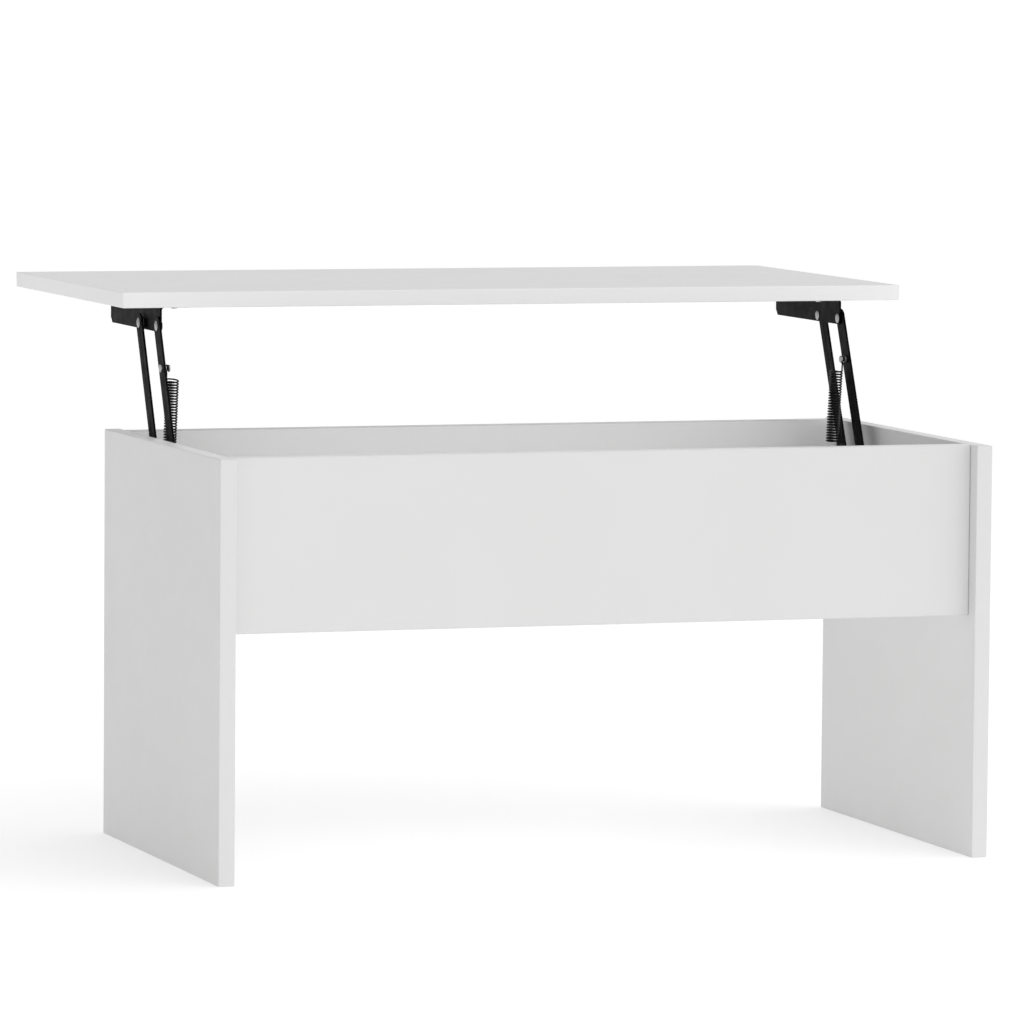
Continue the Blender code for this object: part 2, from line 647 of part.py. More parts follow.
def make_pivots():
    """An empty on each joint's axis, by side and name."""
    pivots = {}
    for label, side in SIDES.items():
        for name, place in (("front", LOWER_FRONT), ("rear", LOWER_REAR), ("spring", STOP)):
            x = side * WEB_LAYER
            pivots[label, name] = add_empty(f"{label}_{name}_pivot", (x, place.y, place.z), ROOT)
    return pivots


def build():
    """Build every part, side by side."""
    boards = build_carcass()
    build_fixings(boards)
    top = build_top()
    for label, side in SIDES.items():
        build_top_bracket(label, side, top)
        build_base(label, side, boards[label])
        build_arms(label, side)
        build_rivets(label, side)
        build_peg(label, side)
        build_spring(label, side)


clear_scene()
PARTS = make_collection(NAME)
CUTTERS = make_collection("cutters")
DESIGN_PLACE = {}
ROOT = add_empty("table", (0, 0, 0))
PIVOTS = make_pivots()
TOP_PIVOT = add_empty("top_pivot", (WEB_LAYER, UPPER_FRONT.y, UPPER_FRONT.z), PIVOTS["right", "front"])
build()
ROOT.location = ORIGIN
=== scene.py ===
"""Looks of a white lift top coffee table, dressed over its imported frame.

The boards, pressed brackets, arms, rivets, screws, cam locks and springs are surfaces worked out
with numpy from the boxes of the frame's own nodes. Each finish is a frozen dataclass of patterns and
values that builds a procedural material. The table is drawn opened: its top is raised and carried
back on two linkages.
"""
import logging
import math
from dataclasses import dataclass, field
from enum import Enum
from typing import Callable

import bmesh
import bpy
import numpy as np
from mathutils import Matrix, Vector
from mathutils.geometry import delaunay_2d_cdt


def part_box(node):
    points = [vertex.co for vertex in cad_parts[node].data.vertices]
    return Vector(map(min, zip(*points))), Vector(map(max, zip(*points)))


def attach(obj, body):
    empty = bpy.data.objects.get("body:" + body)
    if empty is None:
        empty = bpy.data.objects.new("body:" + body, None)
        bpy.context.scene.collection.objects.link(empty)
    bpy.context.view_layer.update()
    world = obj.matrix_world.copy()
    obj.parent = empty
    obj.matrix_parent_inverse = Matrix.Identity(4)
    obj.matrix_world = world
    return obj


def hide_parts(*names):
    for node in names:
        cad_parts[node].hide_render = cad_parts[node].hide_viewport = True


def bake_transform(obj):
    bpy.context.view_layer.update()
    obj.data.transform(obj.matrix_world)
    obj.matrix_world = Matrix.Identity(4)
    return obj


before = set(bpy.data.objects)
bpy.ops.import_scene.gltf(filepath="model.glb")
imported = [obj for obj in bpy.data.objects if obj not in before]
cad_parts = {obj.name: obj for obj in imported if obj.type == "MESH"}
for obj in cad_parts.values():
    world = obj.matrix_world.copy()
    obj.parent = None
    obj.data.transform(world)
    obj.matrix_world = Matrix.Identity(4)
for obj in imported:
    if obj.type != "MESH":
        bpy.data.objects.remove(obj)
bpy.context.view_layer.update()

LOG = logging.getLogger("lift_top_table")
GAP = 0.0003
SHEET = 0.0025
NEAR = 1e-6
HAIR = 0.0001


class Side(Enum):
    """The two ends of the table, with the sign of X that each lies on."""

    LEFT = -1
    RIGHT = 1

    @property
    def label(self) -> str:
        """The name that the frame's nodes start with."""
        return self.name.lower()

    @property
    def outward(self) -> np.ndarray:
        """The direction away from the table's middle."""
        return np.array([float(self.value), 0, 0])


class Row(Enum):
    """The two arms of a linkage."""

    FRONT = "front"
    REAR = "rear"


class Axis(Enum):
    """The world axis that a board is thin along."""

    X = 0
    Y = 1
    Z = 2


# ---------------------------------------------------------------------------------------------
# Surfaces
# ---------------------------------------------------------------------------------------------


@dataclass
class Surface:
    """A mesh under construction: points, four-cornered faces, wider caps and a finish per face."""

    points: np.ndarray
    quads: np.ndarray
    caps: list[np.ndarray] = field(default_factory=list)
    finish: np.ndarray | None = None
    along: np.ndarray | None = None

    def joined(self, other: "Surface") -> "Surface":
        """Return this surface and another as one.

        Args:
            other: the surface to add.

        Returns:
            A surface that holds both, unmerged.
        """
        shift = len(self.points)
        both = None
        if self.along is not None and other.along is not None:
            both = np.concatenate([self.along, other.along])
        return Surface(
            np.concatenate([self.points, other.points]),
            np.concatenate([self.quads, other.quads + shift]),
            self.caps + [cap + shift for cap in other.caps],
            np.concatenate([self.face_finish(), other.face_finish()]),
            both,
        )

    def face_finish(self) -> np.ndarray:
        """The finish number of each quad, 0 where none was set."""
        return np.zeros(len(self.quads), int) if self.finish is None else self.finish

    def volume(self) -> float:
        """A sixth of the sum of corner . (next corner x the one after) over every triangle.

        Returns:
            The volume, positive where the faces point outwards.
        """
        a, b, c, d = (self.points[self.quads[:, n]] for n in range(4))
        total = (a * (np.cross(b, c) + np.cross(c, d))).sum()
        for cap in self.caps:
            fan = self.points[cap]
            total += (fan[0] * np.cross(fan[1:-1], fan[2:])).sum()
        return float(total) / 6

    def outwards(self) -> "Surface":
        """Turn the faces round if they point inwards.

        Returns:
            The surface with its faces pointing outwards.
        """
        if self.volume() >= 0:
            return self
        caps = [cap[::-1] for cap in self.caps]
        return Surface(self.points, self.quads[:, ::-1], caps, self.finish, self.along)

    def build(self, name: str, finishes: list["Finish"], smooth_below: float = 35.0) -> bpy.types.Object:
        """Make the mesh object, weld its seams and give it its materials.

        Args:
            name: the piece's name.
            finishes: the finishes that the face numbers point to.
            smooth_below: edges flatter than this angle in degrees are shaded smooth.

        Returns:
            The finished object, with its place in its mesh.
        """
        mesh = bpy.data.meshes.new(name)
        faces = [tuple(face) for face in self.quads.tolist()] + [tuple(cap.tolist()) for cap in self.caps]
        mesh.from_pydata(self.points.tolist(), [], faces)
        numbers = np.zeros(len(faces), np.int32)
        numbers[: len(self.quads)] = self.face_finish()
        mesh.polygons.foreach_set("material_index", numbers)
        if self.along is not None:
            layer = mesh.uv_layers.new(name="along")
            corners = np.empty(len(mesh.loops), np.int32)
            mesh.loops.foreach_get("vertex_index", corners)
            layer.data.foreach_set("uv", self.along[corners].astype(np.float32).ravel())
        item = bpy.data.objects.new(name, mesh)
        bpy.context.scene.collection.objects.link(item)
        for finish in finishes:
            mesh.materials.append(finish.material())
        weld(mesh)
        mesh.shade_smooth()
        mesh.set_sharp_from_angle(angle=math.radians(smooth_below))
        return item


def weld(mesh: bpy.types.Mesh, distance: float = 1e-7) -> None:
    """Merge doubled points of a closed mesh, drop faces that close up and turn all faces outwards.

    Args:
        mesh: the mesh to clean.
        distance: points nearer than this become one.
    """
    form = bmesh.new()
    form.from_mesh(mesh)
    bmesh.ops.remove_doubles(form, verts=form.verts, dist=distance)
    bmesh.ops.dissolve_degenerate(form, edges=form.edges, dist=distance)
    bmesh.ops.recalc_face_normals(form, faces=form.faces)
    form.to_mesh(mesh)
    form.free()
    mesh.update()


def lattice(rows: int, columns: int, wrap: bool = False) -> np.ndarray:
    """The quads of a grid of points laid out row by row.

    Args:
        rows: number of rows.
        columns: number of points in a row.
        wrap: whether each row closes on itself.

    Returns:
        An array of four point numbers per face.
    """
    r = np.arange(rows - 1)[:, None]
    c = np.arange(columns if wrap else columns - 1)[None, :]
    after = (c + 1) % columns
    first = r * columns + c
    second = r * columns + after
    third = (r + 1) * columns + after
    fourth = (r + 1) * columns + c
    return np.stack([first, second, third, fourth], -1).reshape(-1, 4)


def ringed(rings: np.ndarray, along: np.ndarray | None = None) -> Surface:
    """Skin rings of points into a closed surface with a cap at each end.

    Args:
        rings: points by ring and by place round the ring.
        along: a pair of pattern coordinates for each point, or None.

    Returns:
        The closed surface, its faces pointing outwards.
    """
    count, around = rings.shape[:2]
    caps = [np.arange(around)[::-1], np.arange(around) + (count - 1) * around]
    flat = None if along is None else along.reshape(-1, 2)
    return Surface(rings.reshape(-1, 3), lattice(count, around, wrap=True), caps, None, flat).outwards()


def fitted_frame(axis: Vector) -> np.ndarray:
    """Three unit vectors as columns, the last of them along the axis."""
    turn = Vector((0, 0, 1)).rotation_difference(axis.normalized()).to_matrix()
    return np.array(turn)


def turned(profile: np.ndarray, place: Vector, axis: Vector, sides: int = 40,
           relief: Callable[[np.ndarray, np.ndarray, np.ndarray], np.ndarray] | None = None) -> Surface:
    """Turn a profile about an axis.

    A point of ring i at angle t is place + h(i) * axis + r(i) * (cos t, sin t) across it, and the
    relief is added to h.

    Args:
        profile: (height along the axis, radius) pairs.
        place: where height 0 lies.
        axis: the direction of growing height.
        sides: points round the axis.
        relief: extra height from (x, y, height) in the piece's own frame, or None.

    Returns:
        The closed surface.
    """
    angle = np.linspace(0, math.tau, sides, endpoint=False)
    x = profile[:, 1:2] * np.cos(angle)
    y = profile[:, 1:2] * np.sin(angle)
    z = np.repeat(profile[:, :1], sides, 1)
    if relief is not None:
        z = z + relief(x, y, z)
    rings = np.stack([x, y, z], -1) @ fitted_frame(axis).T + np.array(place)
    return ringed(rings)


def swept_tube(path: np.ndarray, outward: np.ndarray, radius: float, sides: int = 10) -> Surface:
    """Carry a circle along a path.

    A point at distance s and angle t is path(s) + radius * (cos t * n(s) + sin t * b(s)), where n
    is the outward field squared up to the path's tangent and b is tangent x n.

    Args:
        path: points along the wire.
        outward: a rough sideways direction at each point.
        radius: the wire's radius.
        sides: points round the wire.

    Returns:
        The closed wire, with (distance, angle) as its pattern coordinates.
    """
    tangent = np.gradient(path, axis=0)
    tangent /= np.linalg.norm(tangent, axis=1, keepdims=True)
    normal = outward - (outward * tangent).sum(1, keepdims=True) * tangent
    normal /= np.linalg.norm(normal, axis=1, keepdims=True)
    across = np.cross(tangent, normal)
    angle = np.linspace(0, math.tau, sides, endpoint=False)
    offset = np.cos(angle)[None, :, None] * normal[:, None] + np.sin(angle)[None, :, None] * across[:, None]
    rings = path[:, None] + radius * offset
    steps = np.linalg.norm(np.diff(path, axis=0), axis=1)
    distance = np.concatenate([[0], np.cumsum(steps)])
    along = np.stack(np.broadcast_arrays(distance[:, None], angle[None] / math.tau), -1)
    return ringed(rings, along)


def rounded_rim(height: float, radius: float, rounding: float, steps: int) -> np.ndarray:
    """The profile of a pin's rounded end, from its side to its end face.

    At angle t it is (height - rounding * (1 - sin t), radius - rounding * (1 - cos t)).

    Args:
        height: where the end face lies.
        radius: the pin's radius.
        rounding: the radius of the rounding.
        steps: points on the rounding.

    Returns:
        (height, radius) pairs.
    """
    turn = np.linspace(0, math.pi / 2, steps)
    return np.stack([height - rounding * (1 - np.sin(turn)), radius - rounding * (1 - np.cos(turn))], 1)


def bump_step(value: np.ndarray, width: float) -> np.ndarray:
    """A smooth step from 0 to 1 as the value goes from 0 to the width."""
    t = np.clip(value / width, 0, 1)
    return t * t * (3 - 2 * t)


# ---------------------------------------------------------------------------------------------
# Finishes
# ---------------------------------------------------------------------------------------------


# Three channels of a colour, or three shares on X, Y and Z.
Colour = tuple[float, float, float]


class Follows(Enum):
    """The coordinates that a pattern follows: the piece's own place, or a wire's length and girth."""

    PLACE = "Object"
    WIRE = "UV"


@dataclass(frozen=True)
class Noise:
    """A cloudy pattern, in turns per metre, drawn out where its stretch is under 1."""

    scale: float
    detail: float = 3.0
    roughness: float = 0.5
    stretch: Colour = (1, 1, 1)
    follows: Follows = Follows.PLACE

    def add(self, shading: "Shading") -> bpy.types.NodeSocket:
        """Add the pattern to a material.

        Args:
            shading: the material's nodes.

        Returns:
            The socket that gives the pattern's value.
        """
        node = shading.node("ShaderNodeTexNoise", Scale=self.scale, Detail=self.detail,
                            Roughness=self.roughness)
        shading.link(shading.pattern_space(self.stretch, self.follows), node.inputs["Vector"])
        return node.outputs["Fac"]


@dataclass(frozen=True)
class Cells:
    """Soft rounded cells: the distance to the nearest cell's centre."""

    scale: float
    smooth: float = 0.4

    def add(self, shading: "Shading") -> bpy.types.NodeSocket:
        """Add the pattern to a material.

        Args:
            shading: the material's nodes.

        Returns:
            The socket that gives the pattern's value.
        """
        node = shading.node("ShaderNodeTexVoronoi", Scale=self.scale)
        node.feature = "SMOOTH_F1"
        node.inputs["Smoothness"].default_value = self.smooth
        shading.link(shading.pattern_space((1, 1, 1), Follows.PLACE), node.inputs["Vector"])
        return node.outputs["Distance"]


class Shading:
    """A material's node tree, with the few node recipes that the finishes share."""

    faint: float = 0.3
    strong: float = 0.7

    def __init__(self, name: str) -> None:
        """Start a material with one Principled shader.

        Args:
            name: the material's name.
        """
        self.material = bpy.data.materials.new(name)
        self.material.use_nodes = True
        self.tree = self.material.node_tree
        self.shader = self.tree.nodes["Principled BSDF"]
        self.place = self.tree.nodes.new("ShaderNodeTexCoord")

    def node(self, kind: str, **inputs: float) -> bpy.types.Node:
        """Add a node and set the named inputs that are plain values.

        Args:
            kind: Blender's name for the node.
            inputs: a value for each named input.

        Returns:
            The node.
        """
        node = self.tree.nodes.new(kind)
        for name, value in inputs.items():
            node.inputs[name].default_value = value
        return node

    def link(self, source: bpy.types.NodeSocket, target: bpy.types.NodeSocket) -> None:
        """Join two sockets."""
        self.tree.links.new(source, target)

    def pattern_space(self, scale: Colour, follows: Follows) -> bpy.types.NodeSocket:
        """Coordinates for a pattern, stretched by a scale on each axis.

        Args:
            scale: the scale on X, Y and Z.
            follows: the coordinates that the pattern starts from.

        Returns:
            The socket that gives the coordinates.
        """
        mapping = self.node("ShaderNodeMapping")
        mapping.inputs["Scale"].default_value = scale
        self.link(self.place.outputs[follows.value], mapping.inputs["Vector"])
        return mapping.outputs["Vector"]

    def span(self, value: bpy.types.NodeSocket, low: float, high: float) -> bpy.types.NodeSocket:
        """Carry a pattern's usual range into another range.

        Args:
            value: the pattern's value.
            low: what its faint places become.
            high: what its strong places become.

        Returns:
            The socket that gives the result.
        """
        node = self.tree.nodes.new("ShaderNodeMapRange")
        ends = {"From Min": self.faint, "From Max": self.strong, "To Min": low, "To Max": high}
        for name, number in ends.items():
            node.inputs[name].default_value = number
        self.link(value, node.inputs["Value"])
        return node.outputs["Result"]

    def tint(self, value: bpy.types.NodeSocket, low: Colour, high: Colour) -> bpy.types.NodeSocket:
        """A colour between two, following a pattern.

        Args:
            value: the pattern's value.
            low: the colour at its faint places.
            high: the colour at its strong places.

        Returns:
            The socket that gives the colour.
        """
        node = self.node("ShaderNodeValToRGB")
        first, last = node.color_ramp.elements
        first.position, last.position = self.faint, self.strong
        first.color, last.color = (*low, 1), (*high, 1)
        self.link(value, node.inputs["Fac"])
        return node.outputs["Color"]

    def raise_by(self, reliefs: tuple[tuple["Noise | Cells", float], ...]) -> None:
        """Bump the surface by several patterns in turn.

        Args:
            reliefs: each pattern with its depth in metres.
        """
        before = None
        for pattern, depth in reliefs:
            bump = self.node("ShaderNodeBump", Strength=1.0, Distance=depth)
            self.link(pattern.add(self), bump.inputs["Height"])
            if before is not None:
                self.link(before, bump.inputs["Normal"])
            before = bump.outputs["Normal"]
        if before is not None:
            self.link(before, self.shader.inputs["Normal"])


@dataclass(frozen=True)
class Finish:
    """A finish that is built once and shared by every piece that wears it.

    One pattern carries the colour from low to high, and the gloss pattern, or else the same one,
    carries the roughness. The reliefs are patterns with their depths in metres.
    """

    name: str
    low: Colour
    high: Colour
    pattern: Noise
    roughness: tuple[float, float]
    gloss: Noise | None = None
    reliefs: tuple[tuple[Noise | Cells, float], ...] = ()
    metallic: float = 0.0
    shine: float = 0.5
    glow: float = 0.0

    def material(self) -> bpy.types.Material:
        """The finish's material, made on first use."""
        return bpy.data.materials.get(self.name) or self.mix(Shading(self.name))

    def mix(self, shading: Shading) -> bpy.types.Material:
        """Fill in the shader.

        Args:
            shading: the new material's nodes.

        Returns:
            The material.
        """
        inputs = shading.shader.inputs
        value = self.pattern.add(shading)
        shading.link(shading.tint(value, self.low, self.high), inputs["Base Color"])
        dull, bright = self.roughness
        if dull == bright:
            inputs["Roughness"].default_value = dull
        else:
            broken = self.gloss.add(shading) if self.gloss else value
            shading.link(shading.span(broken, dull, bright), inputs["Roughness"])
        inputs["Metallic"].default_value = self.metallic
        inputs["Specular IOR Level"].default_value = self.shine
        if self.glow:
            inputs["Emission Color"].default_value = (1, 1, 1, 1)
            inputs["Emission Strength"].default_value = self.glow
        shading.raise_by(self.reliefs)
        return shading.material


def scaled(tone: Colour, share: float) -> Colour:
    """A colour with each channel times a share."""
    return tuple(channel * share for channel in tone)


def melamine(name: str, tone: float) -> Finish:
    """White melamine paper pressed on board: faint cloudiness, fine pearl texture, satin sheen.

    Args:
        name: the finish's name.
        tone: its whiteness.

    Returns:
        The finish.
    """
    low, high = tone - 0.008, tone + 0.006
    pearl = (Noise(1500.0, 2.0), 0.000012)
    ripple = (Noise(120.0, 2.0), 0.000018)
    return Finish(name, (low, low, low * 0.996), (high, high, high), Noise(7.0, 4.0), (0.37, 0.48),
                  Noise(46.0, 5.0), (pearl, ripple), shine=0.35)


def edge_strip(name: str, tone: float, stretch: Colour) -> Finish:
    """Plastic edge strip: a touch glossier than the faces, with drawn lines along the board.

    Args:
        name: the finish's name.
        tone: its whiteness.
        stretch: how far the lines are drawn out on each axis.

    Returns:
        The finish.
    """
    drawn = Noise(900.0, 2.0, stretch=stretch)
    return Finish(name, (tone - 0.012,) * 3, (tone + 0.004,) * 3, drawn, (0.32, 0.42),
                  reliefs=((drawn, 0.000008),), shine=0.4)


def zinc(name: str, tone: Colour, roughness: float) -> Finish:
    """Zinc: pale grey metal with a cloudy passivation and fine turning marks.

    Args:
        name: the finish's name.
        tone: its colour.
        roughness: its middle roughness.

    Returns:
        The finish.
    """
    cloud = Noise(420.0, 5.0, 0.6)
    return Finish(name, scaled(tone, 0.86), tone, cloud, (roughness + 0.08, roughness - 0.06),
                  reliefs=((Noise(5200.0, 2.0), 0.000006), (cloud, 0.00001)), metallic=0.85)


WHITE = 0.76
DRAWN_ALONG_X = (0.004, 1.0, 1.0)
DRAWN_ALONG_Y = (1.0, 0.004, 1.0)
FACE = melamine("white_melamine", WHITE)
# The back panel and the compartment floor wear a brighter copy of the white melamine: painted light standing
# in for the light that reaches into the compartment.
LIT_INTERIOR_MELAMINE = melamine("bright_melamine", 0.95)
# The table top's edge strip is a brighter copy of the same white strip: painted light on the raised top's
# edges.
LIT_TOP_BAND = edge_strip("top_edge_band", 0.90, DRAWN_ALONG_X)
BAND_ALONG_X = edge_strip("edge_band_along_x", WHITE, DRAWN_ALONG_X)
BAND_ALONG_Y = edge_strip("edge_band_along_y", WHITE, DRAWN_ALONG_Y)
ZINC = zinc("zinc_plate", (0.44, 0.445, 0.45), 0.38)
SCREW_ZINC = zinc("screw_zinc", (0.70, 0.70, 0.69), 0.30)
CAST = zinc("cast_zinc", (0.55, 0.55, 0.54), 0.50)

# Black powder coat on pressed steel: fine orange peel and a soft broken shine.
COAT = Finish("black_powder_coat", (0.0012, 0.0012, 0.00126), (0.00228, 0.00228, 0.0024), Noise(60.0, 5.0),
              (0.46, 0.60), reliefs=((Cells(1300.0), 0.00004), (Noise(3200.0, 2.0), 0.00001)), shine=0.05)

# Oil-blackened spring wire, drawn lengthways.
DRAWN_WIRE = Noise(24.0, 3.0, stretch=(40.0, 1.0, 1.0), follows=Follows.WIRE)
WIRE = Finish("spring_wire", (0.0042, 0.0042, 0.0045), (0.0132, 0.0132, 0.0144), DRAWN_WIRE, (0.28, 0.44),
              reliefs=((DRAWN_WIRE, 0.000015),), metallic=0.4, shine=0.2)

# Bare beech for dowels: pink-brown grain drawn along the table's width, with short flecks.
GRAIN = Noise(700.0, 6.0, 0.6, stretch=(0.06, 1.0, 1.0))
BEECH = Finish("beech", (0.50, 0.32, 0.18), (0.66, 0.46, 0.29), GRAIN, (0.7, 0.55),
               reliefs=((GRAIN, 0.00006),))

# Matt white studio floor, lit a little from below, with the faintest mottling.
FLOOR = Finish("studio_floor", (0.956,) * 3, (0.964,) * 3, Noise(1.5, 3.0), (0.9, 0.9), shine=0.1, glow=0.26)


# ---------------------------------------------------------------------------------------------
# Boards
# ---------------------------------------------------------------------------------------------


@dataclass(frozen=True)
class Bore:
    """A blind bore in a board's inner face, by its centre in the board's own two directions."""

    centre: tuple[float, float]
    radius: float
    depth: float


@dataclass
class Board:
    """A coated board with an edge strip all round: rounded arrises, and a fine seam at the strip.

    Ring i of the skin is the board's outline drawn in by inset(i), at height h(i) of its thickness.
    The rings run from one face, over the seam and the arris, down the edge and back up to the other.
    """

    node: str
    body: str
    thin: Axis
    band: Finish
    face: Finish = FACE
    bores: list[Bore] = field(default_factory=list)
    bored_side: int = 1
    arris: float = 0.0009
    strip: float = 0.0010
    seam_start: float = 0.00004
    seam_width: float = 0.00016
    seam_depth: float = 0.00012
    corner: float = 0.0012
    least_corner: float = 0.0002
    corner_steps: int = 5
    arris_steps: int = 4
    bore_sides: int = 40
    bore_chamfer: float = 0.0004

    def section(self, half: float) -> np.ndarray:
        """The skin's (inset, height) pairs from the middle of the edge to the face.

        Args:
            half: half the board's thickness.

        Returns:
            Rows of inset and height, growing towards the face.
        """
        turn = np.linspace(0, math.pi / 2, self.arris_steps + 1)
        rounding = np.stack([self.arris * (1 - np.cos(turn)), half - self.arris * (1 - np.sin(turn))], 1)
        edge = np.array([[0, half * 0.5], [0, half - self.arris * 1.6]])
        near = max(self.arris, self.strip) + self.seam_start
        seam = np.array([[near, half], [near + self.seam_width / 2, half - self.seam_depth],
                         [near + self.seam_width, half]])
        return np.concatenate([edge, rounding, seam])

    def outline(self, half_a: float, half_b: float, inset: float) -> np.ndarray:
        """A rectangle with rounded corners, drawn in by an inset.

        Args:
            half_a: half length on the first direction.
            half_b: half length on the second direction.
            inset: how far the outline is drawn in.

        Returns:
            Points round the outline.
        """
        radius = max(self.corner - inset, self.least_corner)
        turn = np.linspace(0, math.pi / 2, self.corner_steps)
        start = np.arange(4)[:, None] * math.pi / 2
        angle = (start + turn[None]).ravel()
        sign_a = np.repeat([1, -1, -1, 1], self.corner_steps)
        sign_b = np.repeat([1, 1, -1, -1], self.corner_steps)
        a = sign_a * (half_a - inset - radius) + radius * np.cos(angle)
        b = sign_b * (half_b - inset - radius) + radius * np.sin(angle)
        return np.stack([a, b], 1)

    def build(self) -> bpy.types.Object:
        """Make the board in place.

        Returns:
            The board, with its faces and its edge strip in their own finishes.
        """
        low, high = box_corners(self.node)
        middle, half = (low + high) / 2, (high - low) / 2
        first, second = [n for n in range(3) if n != self.thin.value]
        upper = self.section(half[self.thin.value])
        section = np.concatenate([upper[::-1], upper * (1, -1)])
        rings = np.zeros((len(section), 4 * self.corner_steps, 3))
        for ring, (inset, height) in zip(rings, section):
            flat = self.outline(half[first], half[second], inset)
            ring[:, first], ring[:, second] = flat[:, 0], flat[:, 1]
            ring[:, self.thin.value] = height
        skin = ringed(rings)
        faces_per_ring = rings.shape[1]
        reach = np.abs(section[:, 0])
        on_edge = np.maximum(reach[:-1], reach[1:]) <= self.strip + self.seam_start + NEAR
        skin.finish = np.repeat(on_edge.astype(int), faces_per_ring)
        if self.bores:
            skin = self.pierce(skin, rings, first, second)
        skin.points = skin.points + middle
        item = skin.build(f"{self.node}_board", [self.face, self.band])
        return stand_for(item, self.body, "white_board", self.node)

    def pierce(self, skin: Surface, rings: np.ndarray, first: int, second: int) -> Surface:
        """Open blind bores in one face.

        Args:
            skin: the closed board about the origin.
            rings: its rings, first ring on the positive face.
            first: the first direction along the face.
            second: the second direction along the face.

        Returns:
            The board with its bores.
        """
        ring = rings[0] if self.bored_side > 0 else rings[-1]
        face = ring[0, self.thin.value]
        loops = [ring[:, [first, second]]]
        angle = np.linspace(0, math.tau, self.bore_sides, endpoint=False)
        circle = np.stack([np.cos(angle), np.sin(angle)], 1)
        loops += [np.array(bore.centre) + (bore.radius + self.bore_chamfer) * circle for bore in self.bores]
        flat, triangles = filled(loops, [])
        points = np.zeros((len(flat), 3))
        points[:, first], points[:, second] = flat[:, 0], flat[:, 1]
        points[:, self.thin.value] = face
        wells = Surface(points, np.empty((0, 4), int), list(triangles))
        for bore in self.bores:
            radii = np.array([bore.radius + self.bore_chamfer, bore.radius, bore.radius])
            drops = np.array([0, self.bore_chamfer, bore.depth])
            well = np.zeros((3, self.bore_sides, 3))
            well[..., first] = bore.centre[0] + radii[:, None] * circle[None, :, 0]
            well[..., second] = bore.centre[1] + radii[:, None] * circle[None, :, 1]
            well[..., self.thin.value] = face - self.bored_side * drops[:, None]
            bottom = np.arange(self.bore_sides) + 2 * self.bore_sides
            walls = lattice(3, self.bore_sides, wrap=True)
            wells = wells.joined(Surface(well.reshape(-1, 3), walls, [bottom]))
        far = [cap for cap in skin.caps if abs(skin.points[cap[0], self.thin.value] - face) > NEAR]
        return Surface(skin.points, skin.quads, far, skin.finish).joined(wells)


def filled(loops: list[np.ndarray], lines: list[np.ndarray]) -> tuple[np.ndarray, np.ndarray]:
    """Fill an outline with holes, with mesh edges along extra lines.

    Args:
        loops: the outline, then each hole.
        lines: pairs of end points.

    Returns:
        The points and the triangles.
    """
    points = np.concatenate([*loops, *lines]) if lines else np.concatenate(loops)
    edges, start = [], 0
    for loop in loops:
        number = np.arange(len(loop)) + start
        edges += np.stack([number, np.roll(number, -1)], 1).tolist()
        start += len(loop)
    for _ in lines:
        edges.append([start, start + 1])
        start += 2
    made = delaunay_2d_cdt([Vector(p) for p in points.tolist()], edges, [], 0, 1e-7)
    flat = np.array([tuple(p) for p in made[0]])
    triangles = np.array(made[2])
    centres = flat[triangles].mean(1)
    keep = inside(loops[0], centres)
    for hole in loops[1:]:
        keep &= ~inside(hole, centres)
    a, b, c = (flat[triangles[:, n]] for n in range(3))
    area = (b[:, 0] - a[:, 0]) * (c[:, 1] - a[:, 1]) - (b[:, 1] - a[:, 1]) * (c[:, 0] - a[:, 0])
    keep &= np.abs(area) > 1e-13
    return flat, triangles[keep]


def inside(loop: np.ndarray, places: np.ndarray) -> np.ndarray:
    """Whether each place lies in a loop, by counting the loop's edges to its right.

    Args:
        loop: the loop's points.
        places: the places to test.

    Returns:
        A truth value for each place.
    """
    after = np.roll(loop, -1, 0)
    above = (loop[:, 1] > places[:, None, 1]) != (after[:, 1] > places[:, None, 1])
    rise = np.where(np.abs(after[:, 1] - loop[:, 1]) < 1e-12, 1e-12, after[:, 1] - loop[:, 1])
    cross = loop[:, 0] + (places[:, None, 1] - loop[:, 1]) / rise * (after[:, 0] - loop[:, 0])
    return (above & (places[:, None, 0] < cross)).sum(1) % 2 == 1


def stand_for(item: bpy.types.Object, body: str, slot: str, *nodes: str) -> bpy.types.Object:
    """Let a new piece ride a body in place of its plain nodes.

    Args:
        item: the new piece.
        body: the body that it rides on.
        slot: not used.
        nodes: the nodes that it stands for.

    Returns:
        The piece.
    """
    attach(item, body)
    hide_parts(*nodes)
    LOG.info("%s: %d faces on %s", item.name, len(item.data.polygons), body)
    return item


@dataclass
class Carcass:
    """The two side panels, two long panels and the compartment's floor."""

    cam_radius: float = 0.0078
    cam_depth: float = 0.0127

    def cam_bores(self, panel: str, place: str) -> list[Bore]:
        """The cam bores of a long panel, in the panel's own X and Z.

        Args:
            panel: the panel's node.
            place: front or back.

        Returns:
            One bore for each end.
        """
        centre = box_middle(panel)
        bores = []
        for side in Side:
            cam = box_middle(f"{side.label}_{place}_cam_lock")
            bores.append(Bore((cam[0] - centre[0], cam[2] - centre[2]), self.cam_radius, self.cam_depth))
        return bores

    def build(self) -> list[bpy.types.Object]:
        """Make the five boards.

        Returns:
            The boards.
        """
        boards = [Board(f"{side.label}_side_panel", "carcass", Axis.X, BAND_ALONG_Y) for side in Side]
        boards.append(Board("front_panel", "carcass", Axis.Y, BAND_ALONG_X, FACE,
                            self.cam_bores("front_panel", "front"), 1))
        # The back panel and the compartment floor take the brighter copy of the melamine, with painted light.
        boards.append(Board("back_panel", "carcass", Axis.Y, BAND_ALONG_X, LIT_INTERIOR_MELAMINE,
                            self.cam_bores("back_panel", "back"), -1))
        boards.append(Board("compartment_floor", "carcass", Axis.Z, BAND_ALONG_X, LIT_INTERIOR_MELAMINE))
        return [board.build() for board in boards]


